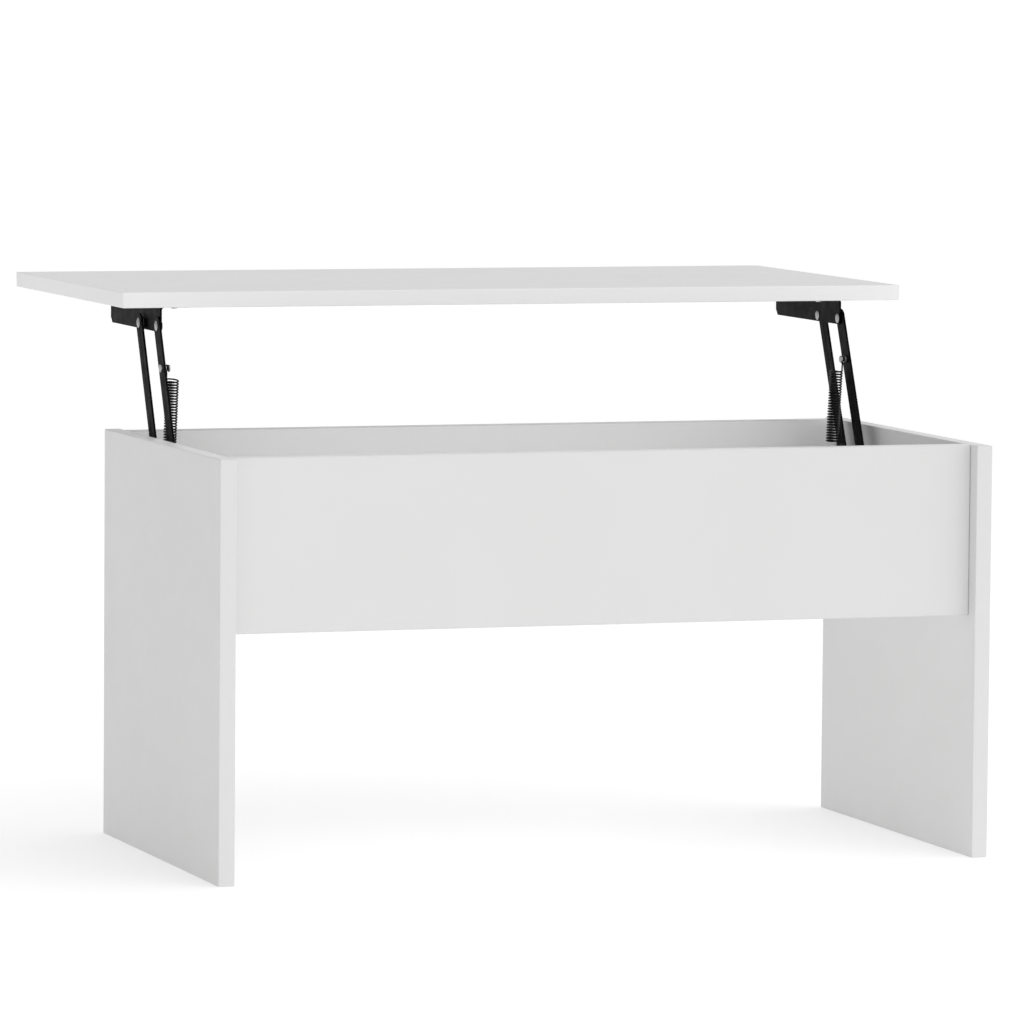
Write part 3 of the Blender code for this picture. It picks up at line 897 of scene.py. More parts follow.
def box_corners(node: str) -> np.ndarray:
    """The lowest and the highest corner of a node's box."""
    return np.array([tuple(corner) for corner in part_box(node)])


def box_middle(node: str) -> np.ndarray:
    """The middle of a node's box."""
    return box_corners(node).mean(0)


def box_size(node: str) -> np.ndarray:
    """The size of a node's box."""
    return np.ptp(box_corners(node), axis=0)


# ---------------------------------------------------------------------------------------------
# Sheet metal
# ---------------------------------------------------------------------------------------------


@dataclass
class FoldLine:
    """A sheet's middle line seen end on: straight runs between corners rounded to one radius.

    At distance u the line is at start + u * direction on a run, and on a bend of centre c it is at
    c + radius * (the normal turned by (u - u0) / radius).
    """

    corners: np.ndarray
    radius: float
    steps: int = 6

    def __post_init__(self) -> None:
        """Work out where every run and bend starts."""
        runs = np.diff(self.corners, axis=0)
        lengths = np.linalg.norm(runs, axis=1)
        headings = np.unwrap(np.arctan2(runs[:, 1], runs[:, 0]))
        turns = np.diff(headings)
        trims = self.radius * np.tan(np.abs(turns) / 2)
        self.pieces = []
        place, at = self.corners[0].astype(float), 0.0
        for number, (length, heading) in enumerate(zip(lengths, headings)):
            before = trims[number - 1] if number else 0
            after = trims[number] if number < len(trims) else 0
            run = length - before - after
            self.pieces.append((at, run, place, heading, 0.0))
            place = place + run * np.array([math.cos(heading), math.sin(heading)])
            at += run
            if number < len(trims):
                bend = math.copysign(1 / self.radius, turns[number])
                arc = self.radius * abs(turns[number])
                self.pieces.append((at, arc, place, heading, bend))
                place = place + chord(heading, bend, arc)
                at += arc
        self.length = at

    def bend_marks(self) -> np.ndarray:
        """Distances at which a mesh edge crosses the sheet."""
        marks = [np.linspace(at, at + run, self.steps + 1) for at, run, _, _, bend in self.pieces if bend]
        return np.concatenate(marks)

    def at(self, distance: np.ndarray) -> tuple[np.ndarray, np.ndarray]:
        """Places and left-hand normals at distances along the line.

        Args:
            distance: distances from the start.

        Returns:
            Two arrays of two coordinates each.
        """
        starts = np.array([piece[0] for piece in self.pieces])
        number = np.clip(np.searchsorted(starts, distance, side="right") - 1, 0, len(starts) - 1)
        origin = np.array([piece[2] for piece in self.pieces])[number]
        heading = np.array([piece[3] for piece in self.pieces])[number]
        bend = np.array([piece[4] for piece in self.pieces])[number]
        run = distance - starts[number]
        straight = np.abs(bend) < 1e-9
        safe = np.where(straight, 1, bend)
        turned_to = heading + bend * run
        x = np.where(straight, run * np.cos(heading), (np.sin(turned_to) - np.sin(heading)) / safe)
        y = np.where(straight, run * np.sin(heading), (np.cos(heading) - np.cos(turned_to)) / safe)
        place = origin + np.stack([x, y], 1)
        return place, np.stack([-np.sin(turned_to), np.cos(turned_to)], 1)


def chord(heading: float, bend: float, arc: float) -> np.ndarray:
    """The step from the start to the end of a bend."""
    last = heading + bend * arc
    return np.array([math.sin(last) - math.sin(heading), math.cos(heading) - math.cos(last)]) / bend


def circle_loop(centre: tuple[float, float], radius: float, sides: int = 32) -> np.ndarray:
    """Points round a circle."""
    angle = np.linspace(0, math.tau, sides, endpoint=False)
    return np.array(centre) + radius * np.stack([np.cos(angle), np.sin(angle)], 1)


def slot_loop(centre: tuple[float, float], radius: float, length: float, sides: int = 32) -> np.ndarray:
    """Points round a slot whose long way is the second direction.

    Args:
        centre: the middle of the slot.
        radius: the radius of its round ends.
        length: its overall length.
        sides: points round it.

    Returns:
        The points.
    """
    loop = circle_loop((0, 0), radius, sides)
    loop[:, 1] += np.where(np.arange(sides) < sides / 2, 1, -1) * (length / 2 - radius)
    return loop + np.array(centre)


def rounded_loop(corners: np.ndarray, radii: np.ndarray, steps: int = 8) -> np.ndarray:
    """A polygon whose corners are rounded, each to its own radius.

    Args:
        corners: the corners in turn, going round to the left.
        radii: a radius for each.
        steps: points on each rounding.

    Returns:
        Points round the outline.
    """
    loop = []
    for before, corner, after, radius in zip(np.roll(corners, 1, 0), corners, np.roll(corners, -1, 0), radii):
        back = (before - corner) / np.linalg.norm(before - corner)
        ahead = (after - corner) / np.linalg.norm(after - corner)
        half = math.acos(np.clip(back @ ahead, -1, 1)) / 2
        centre = corner + (back + ahead) / np.linalg.norm(back + ahead) * radius / math.sin(half)
        first = corner + back * radius / math.tan(half) - centre
        last = corner + ahead * radius / math.tan(half) - centre
        share = np.linspace(0, 1, steps)[:, None]
        angle = math.pi - 2 * half
        arc = (np.sin((1 - share) * angle) * first + np.sin(share * angle) * last) / math.sin(angle)
        loop.append(centre + arc)
    return np.concatenate(loop)


@dataclass
class Sheet:
    """A pressed part: a flat blank cut to an outline with holes, then folded and given thickness.

    A point of the blank at (u, v) goes to fold(u) in the section plane and v along the width, and
    the two skins lie half a thickness to either side along the fold's normal.
    """

    name: str
    outline: np.ndarray
    holes: list[np.ndarray]
    fold: FoldLine
    origin: np.ndarray
    across: np.ndarray
    upward: np.ndarray
    along: np.ndarray
    thickness: float = SHEET
    rounding: float = 0.0003
    overrun: float = 0.001

    def surface(self) -> Surface:
        """The closed skin: both faces and a wall round every edge.

        Returns:
            The skin, its faces pointing outwards.
        """
        low, high = self.outline[:, 1].min() - self.overrun, self.outline[:, 1].max() + self.overrun
        lines = [np.array([[mark, low], [mark, high]]) for mark in self.marks()]
        flat, triangles = filled([self.outline, *self.holes], lines)
        used, renumbered = np.unique(triangles, return_inverse=True)
        flat, triangles = flat[used], renumbered.reshape(triangles.shape)
        place, normal = self.fold.at(flat[:, 0])
        middle = (self.origin + place[:, :1] * self.across + place[:, 1:] * self.upward
                  + flat[:, 1:] * self.along)
        offset = (normal[:, :1] * self.across + normal[:, 1:] * self.upward) * self.thickness / 2
        points = np.concatenate([middle + offset, middle - offset])
        count = len(flat)
        sides = np.concatenate([triangles[:, [0, 1]], triangles[:, [1, 2]], triangles[:, [2, 0]]])
        keys = sides[:, 0] * count + sides[:, 1]
        rim = sides[~np.isin(sides[:, 1] * count + sides[:, 0], keys)]
        wall = np.stack([rim[:, 1], rim[:, 0], rim[:, 0] + count, rim[:, 1] + count], 1)
        skin = Surface(points, wall, [*triangles, *(triangles[:, ::-1] + count)])
        return skin.outwards()

    def marks(self) -> np.ndarray:
        """Where mesh edges cross the blank."""
        return self.fold.bend_marks() if len(self.fold.corners) > 2 else np.empty(0)

    def build(self) -> bpy.types.Object:
        """Make the part with its edges just broken.

        Returns:
            The part.
        """
        item = self.surface().build(self.name, [COAT])
        edge = item.modifiers.new("broken_edges", "BEVEL")
        edge.width = self.rounding
        edge.segments = 2
        edge.limit_method = "ANGLE"
        edge.angle_limit = math.radians(50)
        edge.harden_normals = False
        return item


# ---------------------------------------------------------------------------------------------
# Lifting mechanism
# ---------------------------------------------------------------------------------------------


@dataclass
class Mechanism:
    """One side's linkage: its brackets, arms, rivets, posts and spring."""

    side: Side
    bend_radius: float = 0.0030
    pivot_hole: float = 0.0040
    chamfer: float = 0.007
    slot_radius: float = 0.0024
    slot_length: float = 0.0110
    ear: float = 0.030
    base_bend: float = 0.0030
    corner_radius: float = 0.004
    bracket_corner: float = 0.003
    chamfer_corner: float = 0.002
    head_radius: float = 0.0062
    head_height: float = 0.0018
    head_rim: float = 0.18
    dome_power: float = 2.4
    dimple_depth: float = 0.00045
    dimple_radius: float = 0.0008
    dimple_slope: float = 0.0016
    shank_radius: float = 0.0037
    spacer_radius: float = 0.0054
    spacer_width: float = 0.0026
    arm_thickness: float = 0.0026
    arm_edge: float = 0.0005
    post_radius: float = 0.0040
    peg_radius: float = 0.0045
    peg_head: float = 0.8
    neck_radius: float = 0.0026
    neck_half_width: float = 0.0016
    head_rounding: float = 0.0007
    tip_rounding: float = 0.0008
    rivet_sides: int = 48
    pin_sides: int = 44
    bracket_screws: int = 4

    def name(self, part: str) -> str:
        """A node's or piece's name on this side."""
        return f"{self.side.label}_{part}"

    def pivot(self, row: Row, level: str) -> np.ndarray:
        """The place of a pivot, at the middle of its rivet."""
        return box_middle(self.name(f"{row.value}_{level}_rivet"))

    def top_bracket(self) -> bpy.types.Object:
        """The pressed angle under the top.

        The blank's first direction runs from the flange's free edge, over the bend and down the
        web; its second runs along the table's depth.

        Returns:
            The bracket.
        """
        low, high = box_corners(self.name("top_bracket"))
        inner, outer = sorted((abs(low[0]), abs(high[0])))
        top, depth = high[2] - SHEET / 2, high[2] - low[2]
        middle_radius = self.bend_radius + SHEET / 2
        reach = outer - SHEET / 2 - inner
        corners = np.array([[0, 0], [reach, 0], [reach, SHEET / 2 - depth]])
        fold = FoldLine(corners, middle_radius)
        span = high[1] - low[1]
        full = np.array([[0, 0], [fold.length, 0], [fold.length, span - self.chamfer],
                         [fold.length - self.chamfer, span], [0, span]])
        square, cut = self.bracket_corner, self.chamfer_corner
        outline = rounded_loop(full, np.array([square, square, cut, cut, square]))
        down = fold.pieces[-1][0]
        web_top = top - middle_radius
        holes = []
        for row in Row:
            pivot = self.pivot(row, "upper")
            holes.append(circle_loop((down + web_top - pivot[2], pivot[1] - low[1]), self.pivot_hole))
        for number in range(1, self.bracket_screws + 1):
            screw = box_middle(self.name(f"bracket_screw_{number}"))
            holes.append(slot_loop((abs(screw[0]) - inner, screw[1] - low[1]), self.slot_radius,
                                   self.slot_length))
        origin = self.side.outward * inner + np.array([0, low[1], top])
        sheet = Sheet(self.name("angle_bracket"), outline, holes, fold, origin, self.side.outward,
                      np.array([0, 0, 1.0]), np.array([0, 1.0, 0]))
        return stand_for(sheet.build(), "top", "black_steel", self.name("top_bracket"))

    def base_bracket(self) -> bpy.types.Object:
        """The pressed hat bracket on the side panel: ear, step, web, step, ear.

        The blank's first direction follows that section along the table's depth, and its second
        runs up.

        Returns:
            The bracket.
        """
        low, high = box_corners(self.name("base_bracket"))
        inner, outer = sorted((abs(low[0]), abs(high[0])))
        web, ear = inner + SHEET / 2, outer - SHEET / 2
        front, rear = low[1] + self.ear - SHEET / 2, high[1] - self.ear + SHEET / 2
        corners = np.array([[low[1], ear], [front, ear], [front, web],
                            [rear, web], [rear, ear], [high[1], ear]])
        fold = FoldLine(corners, self.base_bend)
        rise = high[2] - low[2]
        square = np.array([[0, 0], [fold.length, 0], [fold.length, rise], [0, rise]])
        outline = rounded_loop(square, np.full(4, self.corner_radius))
        web_start, web_place = fold.pieces[4][0], fold.pieces[4][2][0]
        holes = []
        for place in (self.pivot(Row.FRONT, "lower"), self.pivot(Row.REAR, "lower"),
                      box_middle(self.name("stop_post"))):
            holes.append(circle_loop((web_start + place[1] - web_place, place[2] - low[2]), self.pivot_hole))
        for level in ("lower", "upper"):
            ahead = box_middle(self.name(f"front_{level}_base_screw"))
            behind = box_middle(self.name(f"rear_{level}_base_screw"))
            holes.append(circle_loop((ahead[1] - low[1], ahead[2] - low[2]), self.slot_radius))
            holes.append(circle_loop((fold.length - (high[1] - behind[1]), behind[2] - low[2]),
                                     self.slot_radius))
        sheet = Sheet(self.name("hat_bracket"), outline, holes, fold, np.array([0, 0, low[2]]),
                      np.array([0, 1.0, 0]), self.side.outward, np.array([0, 0, 1.0]))
        return stand_for(sheet.build(), "carcass", "black_steel", self.name("base_bracket"))

    def arm(self, row: Row) -> bpy.types.Object:
        """A flat bar with round ends and a hole at each pivot.

        The blank's first direction is the bar's length from the lower pivot to the upper one.

        Args:
            row: the front or the rear arm.

        Returns:
            The arm.
        """
        node = self.name(f"{row.value}_arm")
        low, high = box_corners(node)
        lower, upper = self.pivot(row, "lower"), self.pivot(row, "upper")
        lower[0] = upper[0] = (low[0] + high[0]) / 2
        lengthways = (upper - lower) / np.linalg.norm(upper - lower)
        sideways = np.array([0, lengthways[2], -lengthways[1]])
        length = float(np.linalg.norm(upper - lower))
        half = (high[1] - low[1] - abs(upper[1] - lower[1])) / 2
        turn = np.linspace(-math.pi / 2, math.pi / 2, 25)
        cap = half * np.stack([np.cos(turn), np.sin(turn)], 1)
        outline = np.concatenate([cap + (length, 0), -cap])
        holes = [circle_loop((0, 0), self.pivot_hole), circle_loop((length, 0), self.pivot_hole)]
        if row is Row.FRONT:
            peg = box_middle(self.name("spring_peg"))
            holes.append(circle_loop((float((peg - lower) @ lengthways), 0), self.neck_radius + GAP))
        fold = FoldLine(np.array([[0, 0], [length, 0]]), self.bend_radius)
        sheet = Sheet(self.name(f"{row.value}_bar"), outline, holes, fold, lower, lengthways,
                      self.side.outward, sideways, high[0] - low[0], self.arm_edge)
        return stand_for(sheet.build(), node, "black_steel", node)

    def rivet_profile(self, length: float, spacer: float | None) -> np.ndarray:
        """A rivet's profile between its two domed heads.

        Each head is a low dome that falls from its middle by height * (1 - rim) * (r / radius) ** power,
        with a shallow dimple where the tool spun it.

        Args:
            length: overall length.
            spacer: where a wider collar starts, or None.

        Returns:
            (height, radius) pairs.
        """
        share = np.concatenate([np.linspace(0.0002, 0.78, 9), np.linspace(0.83, 1, 5)])
        radius = share * self.head_radius
        fall = self.head_height * (1 - self.head_rim) * share ** self.dome_power
        dimple = self.dimple_depth * (1 - bump_step(radius - self.dimple_radius, self.dimple_slope))
        head = np.stack([fall + dimple, radius], 1)
        seat = np.array([[self.head_height, self.head_radius - HAIR]])
        shank = np.array([[self.head_height, self.shank_radius],
                          [length - self.head_height, self.shank_radius]])
        if spacer is not None:
            collar = np.array([[0, 0], [0, 1], [1, 1], [1, 0]]) * (self.spacer_width,
                                                                  self.spacer_radius - self.shank_radius)
            shank = np.insert(shank, 1, collar + (spacer, self.shank_radius), 0)
        far = np.concatenate([head, seat])[::-1] * (-1, 1) + (length, 0)
        return np.concatenate([head, seat, shank, far])

    def collar_start(self, row: Row, level: str) -> float | None:
        """Where a rivet's collar starts, past the first layer that it clamps.

        Args:
            row: the arm that the rivet holds.
            level: upper or lower.

        Returns:
            The distance from the rivet's end, or None for a rivet without a collar.
        """
        first = {(Row.REAR, "upper"): SHEET, (Row.FRONT, "lower"): self.arm_thickness}
        layer = first.get((row, level))
        return None if layer is None else self.head_height + layer + 2 * GAP

    def rivets(self) -> list[bpy.types.Object]:
        """The four pivot rivets.

        Returns:
            The rivets.
        """
        made = []
        for row in Row:
            for level, body in (("upper", "top"), ("lower", "carcass")):
                node = self.name(f"{row.value}_{level}_rivet")
                length = float(box_size(node)[0])
                place = box_middle(node) - self.side.outward * length / 2
                profile = self.rivet_profile(length, self.collar_start(row, level))
                skin = turned(profile, Vector(place), Vector(self.side.outward), self.rivet_sides)
                item = skin.build(self.name(f"{row.value}_{level}_pin"), [ZINC])
                made.append(stand_for(item, body, "rivet_steel", node))
        return made

    def grooved(self, node: str, radius: float, shoulder: float, body: str) -> bpy.types.Object:
        """A headed pin with a neck for a spring hook near its tip.

        Args:
            node: the node that it stands for.
            radius: the pin's radius.
            shoulder: distance from the head's outer face to the full radius.
            body: the body that it rides on.

        Returns:
            The pin.
        """
        length = float(box_size(node)[0])
        head = self.head_radius * (self.peg_head if node.endswith("peg") else 1)
        start = box_middle(node) + self.side.outward * length / 2
        neck = abs(start[0]) - SpringCoil.hook_plane
        crown = rounded_rim(0, head, self.head_rounding, 5)[::-1] * (-1, 1)
        body_radius = self.neck_radius if node.endswith("peg") else self.shank_radius
        dip = np.linspace(-1, 1, 9)
        sunk = (radius - self.neck_radius) * np.cos(dip * math.pi / 2) ** 0.5
        groove = np.stack([neck + self.neck_half_width * dip, radius - sunk], 1)
        tip = rounded_rim(length, radius, self.tip_rounding, 5)
        profile = np.concatenate([
            [[0, head * 0.3], [0, head * 0.7]], crown, [[self.head_height, head]],
            [[self.head_height, body_radius], [shoulder, body_radius], [shoulder, radius - 2 * HAIR],
             [shoulder + 2 * HAIR, radius]], groove, tip, [[length, radius * 0.4]]])
        skin = turned(profile, Vector(start), Vector(-self.side.outward), self.pin_sides)
        item = skin.build(f"{node}_pin", [ZINC])
        return stand_for(item, body, "rivet_steel", node)

    def build(self) -> list[bpy.types.Object]:
        """Make this side's mechanism.

        Returns:
            All its pieces.
        """
        made = [self.top_bracket(), self.base_bracket(), self.arm(Row.FRONT), self.arm(Row.REAR)]
        made += self.rivets()
        pins = (("stop_post", "base_bracket", self.post_radius, "carcass"),
                ("spring_peg", "front_arm", self.peg_radius, self.name("front_arm")))
        for pin, plate, radius, body in pins:
            head = np.abs(box_corners(self.name(pin))[:, 0]).max()
            face = np.abs(box_corners(self.name(plate))[:, 0]).min()
            made.append(self.grooved(self.name(pin), radius, head - face + GAP, body))
        made += SpringCoil(self.side).build()
        return made


@dataclass
class SpringCoil:
    """An extension spring: round wire wound in open turns, with a side hook at each end.

    The wire's middle line goes round the lower post in a ring, straight up to the coil, and then
    through the turns at angle t: axis(t) + radius * (cos t * outward + sin t * crossways). The upper
    hook leaves from the same side of the coil and ends in a ring round the peg.
    """

    side: Side
    turns: int = 27
    wire: float = 0.0010
    coil_radius: float = 0.0075
    hook_ring: float = 0.0039
    start_from_peg: float = 0.0140
    length: float = 0.0930
    fine: float = 0.0003
    easing: float = 0.0016
    steps_per_turn: int = 160
    ring_angles: tuple[float, float] = (-120, 150)
    ring_steps: int = 60
    neck_steps: int = 30
    ease_in: float = 0.0004
    lead_in_angle: float = 0.45
    neck: float = 1.6
    hook_plane: float = 0.4453

    def anchors(self) -> tuple[np.ndarray, np.ndarray]:
        """Find the pins that the spring hangs between.

        Returns:
            The middles of the lower post and of the upper peg, in the hooks' plane.
        """
        post = box_middle(f"{self.side.label}_stop_post")
        peg = box_middle(f"{self.side.label}_spring_peg")
        post[0] = peg[0] = self.side.value * self.hook_plane
        return post, peg

    def hook(self, eye: np.ndarray, towards: np.ndarray, reach: float) -> np.ndarray:
        """The middle line of a hook, from the free end of its ring to where the coil starts.

        Args:
            eye: the middle of the pin.
            towards: the direction from the pin to the coil.
            reach: how far away the coil starts.

        Returns:
            Points along the wire.
        """
        normal = np.array([0, -towards[2], towards[1]])
        angle = np.radians(np.linspace(*self.ring_angles, self.ring_steps))[:, None]
        ring = eye + self.hook_ring * (np.sin(angle) * normal - np.cos(angle) * towards)
        share = np.linspace(0, 1, self.neck_steps)[1:, None]
        distance = self.neck * self.hook_ring * (1 - share) + reach * share
        return np.concatenate([ring, eye + towards * distance])

    def coil(self, start: np.ndarray, axis: np.ndarray, radius: float, turns: float) -> np.ndarray:
        """Points along the turns, starting on the hooks' side.

        Args:
            start: the coil's first point on the hooks' side.
            axis: the direction that the coil grows in.
            radius: the middle line's radius.
            turns: how many turns.

        Returns:
            Points along the wire.
        """
        outward = self.side.outward
        crossways = np.cross(axis, outward)
        angle = np.linspace(0, math.tau * turns, int(turns * self.steps_per_turn))[:, None]
        pitch = self.length / self.turns
        centre = start - radius * outward + axis * pitch * angle / math.tau
        return centre + radius * (np.cos(angle) * outward + np.sin(angle) * crossways)

    def eased(self, path: np.ndarray, reach: float) -> np.ndarray:
        """Even out a path's steps and round its kinks by a moving average.

        Args:
            path: points along the wire.
            reach: half the width of the average, in metres.

        Returns:
            Points at even steps.
        """
        steps = np.linalg.norm(np.diff(path, axis=0), axis=1)
        distance = np.concatenate([[0], np.cumsum(steps)])
        even = np.arange(0, distance[-1], self.fine)
        flat = np.stack([np.interp(even, distance, path[:, n]) for n in range(3)], 1)
        half = int(reach / self.fine)
        weight = np.hanning(2 * half + 3)[1:-1]
        weight /= weight.sum()
        ahead = flat[0] + (flat[0] - flat[1]) * np.arange(half, 0, -1)[:, None]
        behind = flat[-1] + (flat[-1] - flat[-2]) * np.arange(1, half + 1)[:, None]
        padded = np.concatenate([ahead, flat, behind])
        return np.stack([np.convolve(padded[:, n], weight, "valid") for n in range(3)], 1)

    def outward_field(self, path: np.ndarray, start: np.ndarray, axis: np.ndarray,
                      begin: float) -> np.ndarray:
        """A sideways direction for the wire: straight outwards on a hook, and radial on the coil.

        Args:
            path: points along the wire.
            start: a point on the coil's axis.
            axis: the coil's axis.
            begin: distance along the axis at which the coil begins.

        Returns:
            A direction for each point.
        """
        outward = self.side.outward
        along = (path - start) @ axis
        radial = path - start - along[:, None] * axis
        radial /= np.maximum(np.linalg.norm(radial, axis=1, keepdims=True), 1e-6)
        share = bump_step(along - begin, self.ease_in)[:, None]
        return outward * (1 - share) + radial * share

    def build(self) -> list[bpy.types.Object]:
        """Make the coil with its lower hook, and the upper hook.

        Returns:
            The two pieces.
        """
        label = self.side.label
        post, peg = self.anchors()
        span = float(np.linalg.norm(peg - post))
        axis = (peg - post) / span
        reach = span - self.start_from_peg - self.length
        lower = self.hook(post, axis, reach)
        path = np.concatenate([lower, self.coil(lower[-1], axis, self.coil_radius, self.turns)[1:]])
        path = self.eased(path, self.easing)
        base = post - self.side.outward * self.coil_radius
        field_of = self.outward_field(path, base, axis, reach - self.ease_in / 2)
        along = (path - base) @ axis
        hooked = np.flatnonzero(along < reach + 1.5 * self.ease_in)[-1]
        chosen = np.unique(np.concatenate([np.arange(0, hooked, 2), np.arange(hooked, len(path), 5),
                                           [len(path) - 1]]))
        coil = swept_tube(path[chosen], field_of[chosen], self.wire).build(f"{label}_spring_wire", [WIRE])
        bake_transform(coil)
        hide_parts(f"{label}_spring")
        LOG.info("%s: %d faces, stretches", coil.name, len(coil.data.polygons))
        return [coil, self.upper_hook(peg, -axis, base)]

    def upper_hook(self, peg: np.ndarray, towards: np.ndarray, base: np.ndarray) -> bpy.types.Object:
        """The hook that rides the front arm's peg, with the coil's last bend.

        Args:
            peg: the middle of the peg in the hooks' plane.
            towards: the direction from the peg to the coil.
            base: a point on the coil's axis; not used.

        Returns:
            The hook.
        """
        label = self.side.label
        path = self.hook(peg, towards, self.start_from_peg)
        tail = path[-1] + self.lead_in(towards)
        path = self.eased(np.concatenate([path, tail]), self.easing)[::2]
        outward = np.repeat([self.side.outward], len(path), 0)
        item = swept_tube(path, outward, self.wire).build(f"{label}_upper_hook", [WIRE])
        return stand_for(item, f"{label}_spring_hook", "spring_steel", f"{label}_spring_hook")

    def lead_in(self, towards: np.ndarray) -> np.ndarray:
        """The last part of a turn before the hook, from the coil's end backwards.

        Args:
            towards: the direction from the peg to the coil.

        Returns:
            Steps from the coil's end.
        """
        outward = self.side.outward
        crossways = np.cross(-towards, outward)
        angle = np.linspace(0, self.lead_in_angle, 12)[1:, None]
        rise = self.length / self.turns * angle / math.tau
        turn = (np.cos(angle) - 1) * outward - np.sin(angle) * crossways
        return self.coil_radius * turn + towards * rise


# ---------------------------------------------------------------------------------------------
# Fixings
# ---------------------------------------------------------------------------------------------


@dataclass(frozen=True)
class DriverCross:
    """A cross recess: two crossed bars of one half width and reach, with eased edges."""

    half_width: float
    reach: float
    side_slope: float
    end_slope: float

    def share(self, x: np.ndarray, y: np.ndarray) -> np.ndarray:
        """How far into the cross each point lies: 1 in a bar, and 0 outside both.

        Args:
            x: first coordinate across the head.
            y: second coordinate across the head.

        Returns:
            The larger of the two bars' shares.
        """
        bars = [(1 - bump_step(np.abs(p) - self.half_width, self.side_slope))
                * (1 - bump_step(np.abs(q) - self.reach, self.end_slope)) for p, q in ((x, y), (y, x))]
        return np.maximum(*bars)


@dataclass
class CrossScrew:
    """A pan-head screw with a cross recess.

    The head's crown is h = -height * (1 - fall * (r / radius) ** 3), sunk by a depth where the point
    lies in either bar of the cross. The rim is (height, share of the head's radius) pairs.
    """

    node: str
    body: str
    direction: np.ndarray
    head_radius: float = 0.0040
    head_height: float = 0.0020
    crown_fall: float = 0.35
    crown_rings: int = 18
    rim: tuple[tuple[float, float], ...] = ((-0.0009, 0.97), (-0.0005, 1.0), (-0.0001, 1.0), (0, 0.97))
    cross_floor: float = 0.0006
    shank: float = 0.0019
    point_length: float = 0.003
    point_share: float = 0.2
    sides: int = 48
    smooth_below: float = 42
    cross: DriverCross = DriverCross(0.00055, 0.0021, 0.0003, 0.0004)
    depth: float = 0.0011

    def recess(self, x: np.ndarray, y: np.ndarray, z: np.ndarray) -> np.ndarray:
        """How far the cross sinks each point of the crown.

        Args:
            x: first coordinate across the head.
            y: second coordinate across the head.
            z: height along the screw.

        Returns:
            The depth at each point.
        """
        taper = np.clip(1 - np.hypot(x, y) / (2.2 * self.cross.reach), 0, 1)
        return np.where(z < -self.cross_floor, self.depth * self.cross.share(x, y) * (0.4 + taper), 0)

    def build(self) -> bpy.types.Object:
        """Make the screw.

        Returns:
            The screw.
        """
        length = float(box_size(self.node) @ np.abs(self.direction))
        start = box_middle(self.node) - self.direction * (length / 2 - self.head_height)
        share = np.linspace(0.0001, 0.90, self.crown_rings)
        height = -self.head_height * (1 - self.crown_fall * share ** 3)
        crown = np.stack([height, share * self.head_radius], 1)
        tip = length - self.head_height
        thread = np.array([[0, self.shank], [tip - self.point_length, self.shank],
                           [tip, self.shank * self.point_share]])
        profile = np.concatenate([crown, np.array(self.rim) * (1, self.head_radius), thread])
        skin = turned(profile, Vector(start), Vector(self.direction), self.sides, self.recess)
        item = skin.build(f"{self.node}_pan", [SCREW_ZINC], self.smooth_below)
        return stand_for(item, self.body, "screw_steel", self.node)


@dataclass
class CamLock:
    """A cast cam, flush in its bore, with a driver cross and a shallow ring round it."""

    node: str
    facing: np.ndarray
    radius: float = 0.0075
    edge: float = 0.0005
    cross: DriverCross = DriverCross(0.0008, 0.0036, 0.0004, 0.0005)
    depth: float = 0.0016
    ring: tuple[float, float] = (0.0050, 0.0062)
    ring_depth: float = 0.0004
    ring_slope: float = 0.0004
    face_rings: int = 26
    sides: int = 56
    smooth_below: float = 42

    def length(self) -> float:
        """The cam's length along its bore."""
        return float(box_size(self.node) @ np.abs(self.facing))

    def relief(self, x: np.ndarray, y: np.ndarray, z: np.ndarray) -> np.ndarray:
        """The sunk cross and the shallow ring of the cam's face.

        Args:
            x: first coordinate across the face.
            y: second coordinate across the face.
            z: height along the cam.

        Returns:
            How far each point is moved along the axis.
        """
        across = np.hypot(x, y)
        inner, outer = (bump_step(across - radius, self.ring_slope) for radius in self.ring)
        sunk = self.depth * self.cross.share(x, y) + self.ring_depth * inner * (1 - outer)
        return np.where(z > self.length() - self.edge / 2.5, -sunk, 0)

    def build(self) -> bpy.types.Object:
        """Make the cam.

        Returns:
            The cam.
        """
        length = self.length()
        start = box_middle(self.node) - self.facing * length / 2
        edge = rounded_rim(length, self.radius, self.edge, 4)
        face = np.stack([np.full(self.face_rings, length),
                         np.linspace(self.radius - self.edge - HAIR, HAIR, self.face_rings)], 1)
        profile = np.concatenate([[[0, self.radius]], edge, face])
        skin = turned(profile, Vector(start), Vector(self.facing), self.sides, self.relief)
        item = skin.build(f"{self.node}_face", [CAST], self.smooth_below)
        return stand_for(item, "carcass", "zinc_alloy", self.node)


@dataclass
class Fixings:
    """Every screw and cam of the table, and the finishes of its hidden bolts and dowels."""

    levels: tuple[str, str] = ("lower", "upper")

    def build(self) -> list[bpy.types.Object]:
        """Make the screws and cams.

        Returns:
            The fixings.
        """
        made = []
        for side in Side:
            for number in range(1, Mechanism.bracket_screws + 1):
                node = f"{side.label}_bracket_screw_{number}"
                made.append(CrossScrew(node, "top", np.array([0, 0, 1.0])).build())
            for row in Row:
                for level in self.levels:
                    node = f"{side.label}_{row.value}_{level}_base_screw"
                    made.append(CrossScrew(node, "carcass", side.outward).build())
            made.append(CamLock(f"{side.label}_front_cam_lock", np.array([0, 1.0, 0])).build())
            made.append(CamLock(f"{side.label}_back_cam_lock", np.array([0, -1.0, 0])).build())
        self.dress_hidden()
        return made

    def dress_hidden(self) -> None:
        """Give the cam bolts and the dowels their finishes."""
        for name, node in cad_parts.items():
            finish = CAST if name.endswith("cam_bolt") else BEECH if name.endswith("dowel") else None
            if finish is not None:
                node.data.materials.clear()
                node.data.materials.append(finish.material())


# ---------------------------------------------------------------------------------------------
# Studio
# ---------------------------------------------------------------------------------------------


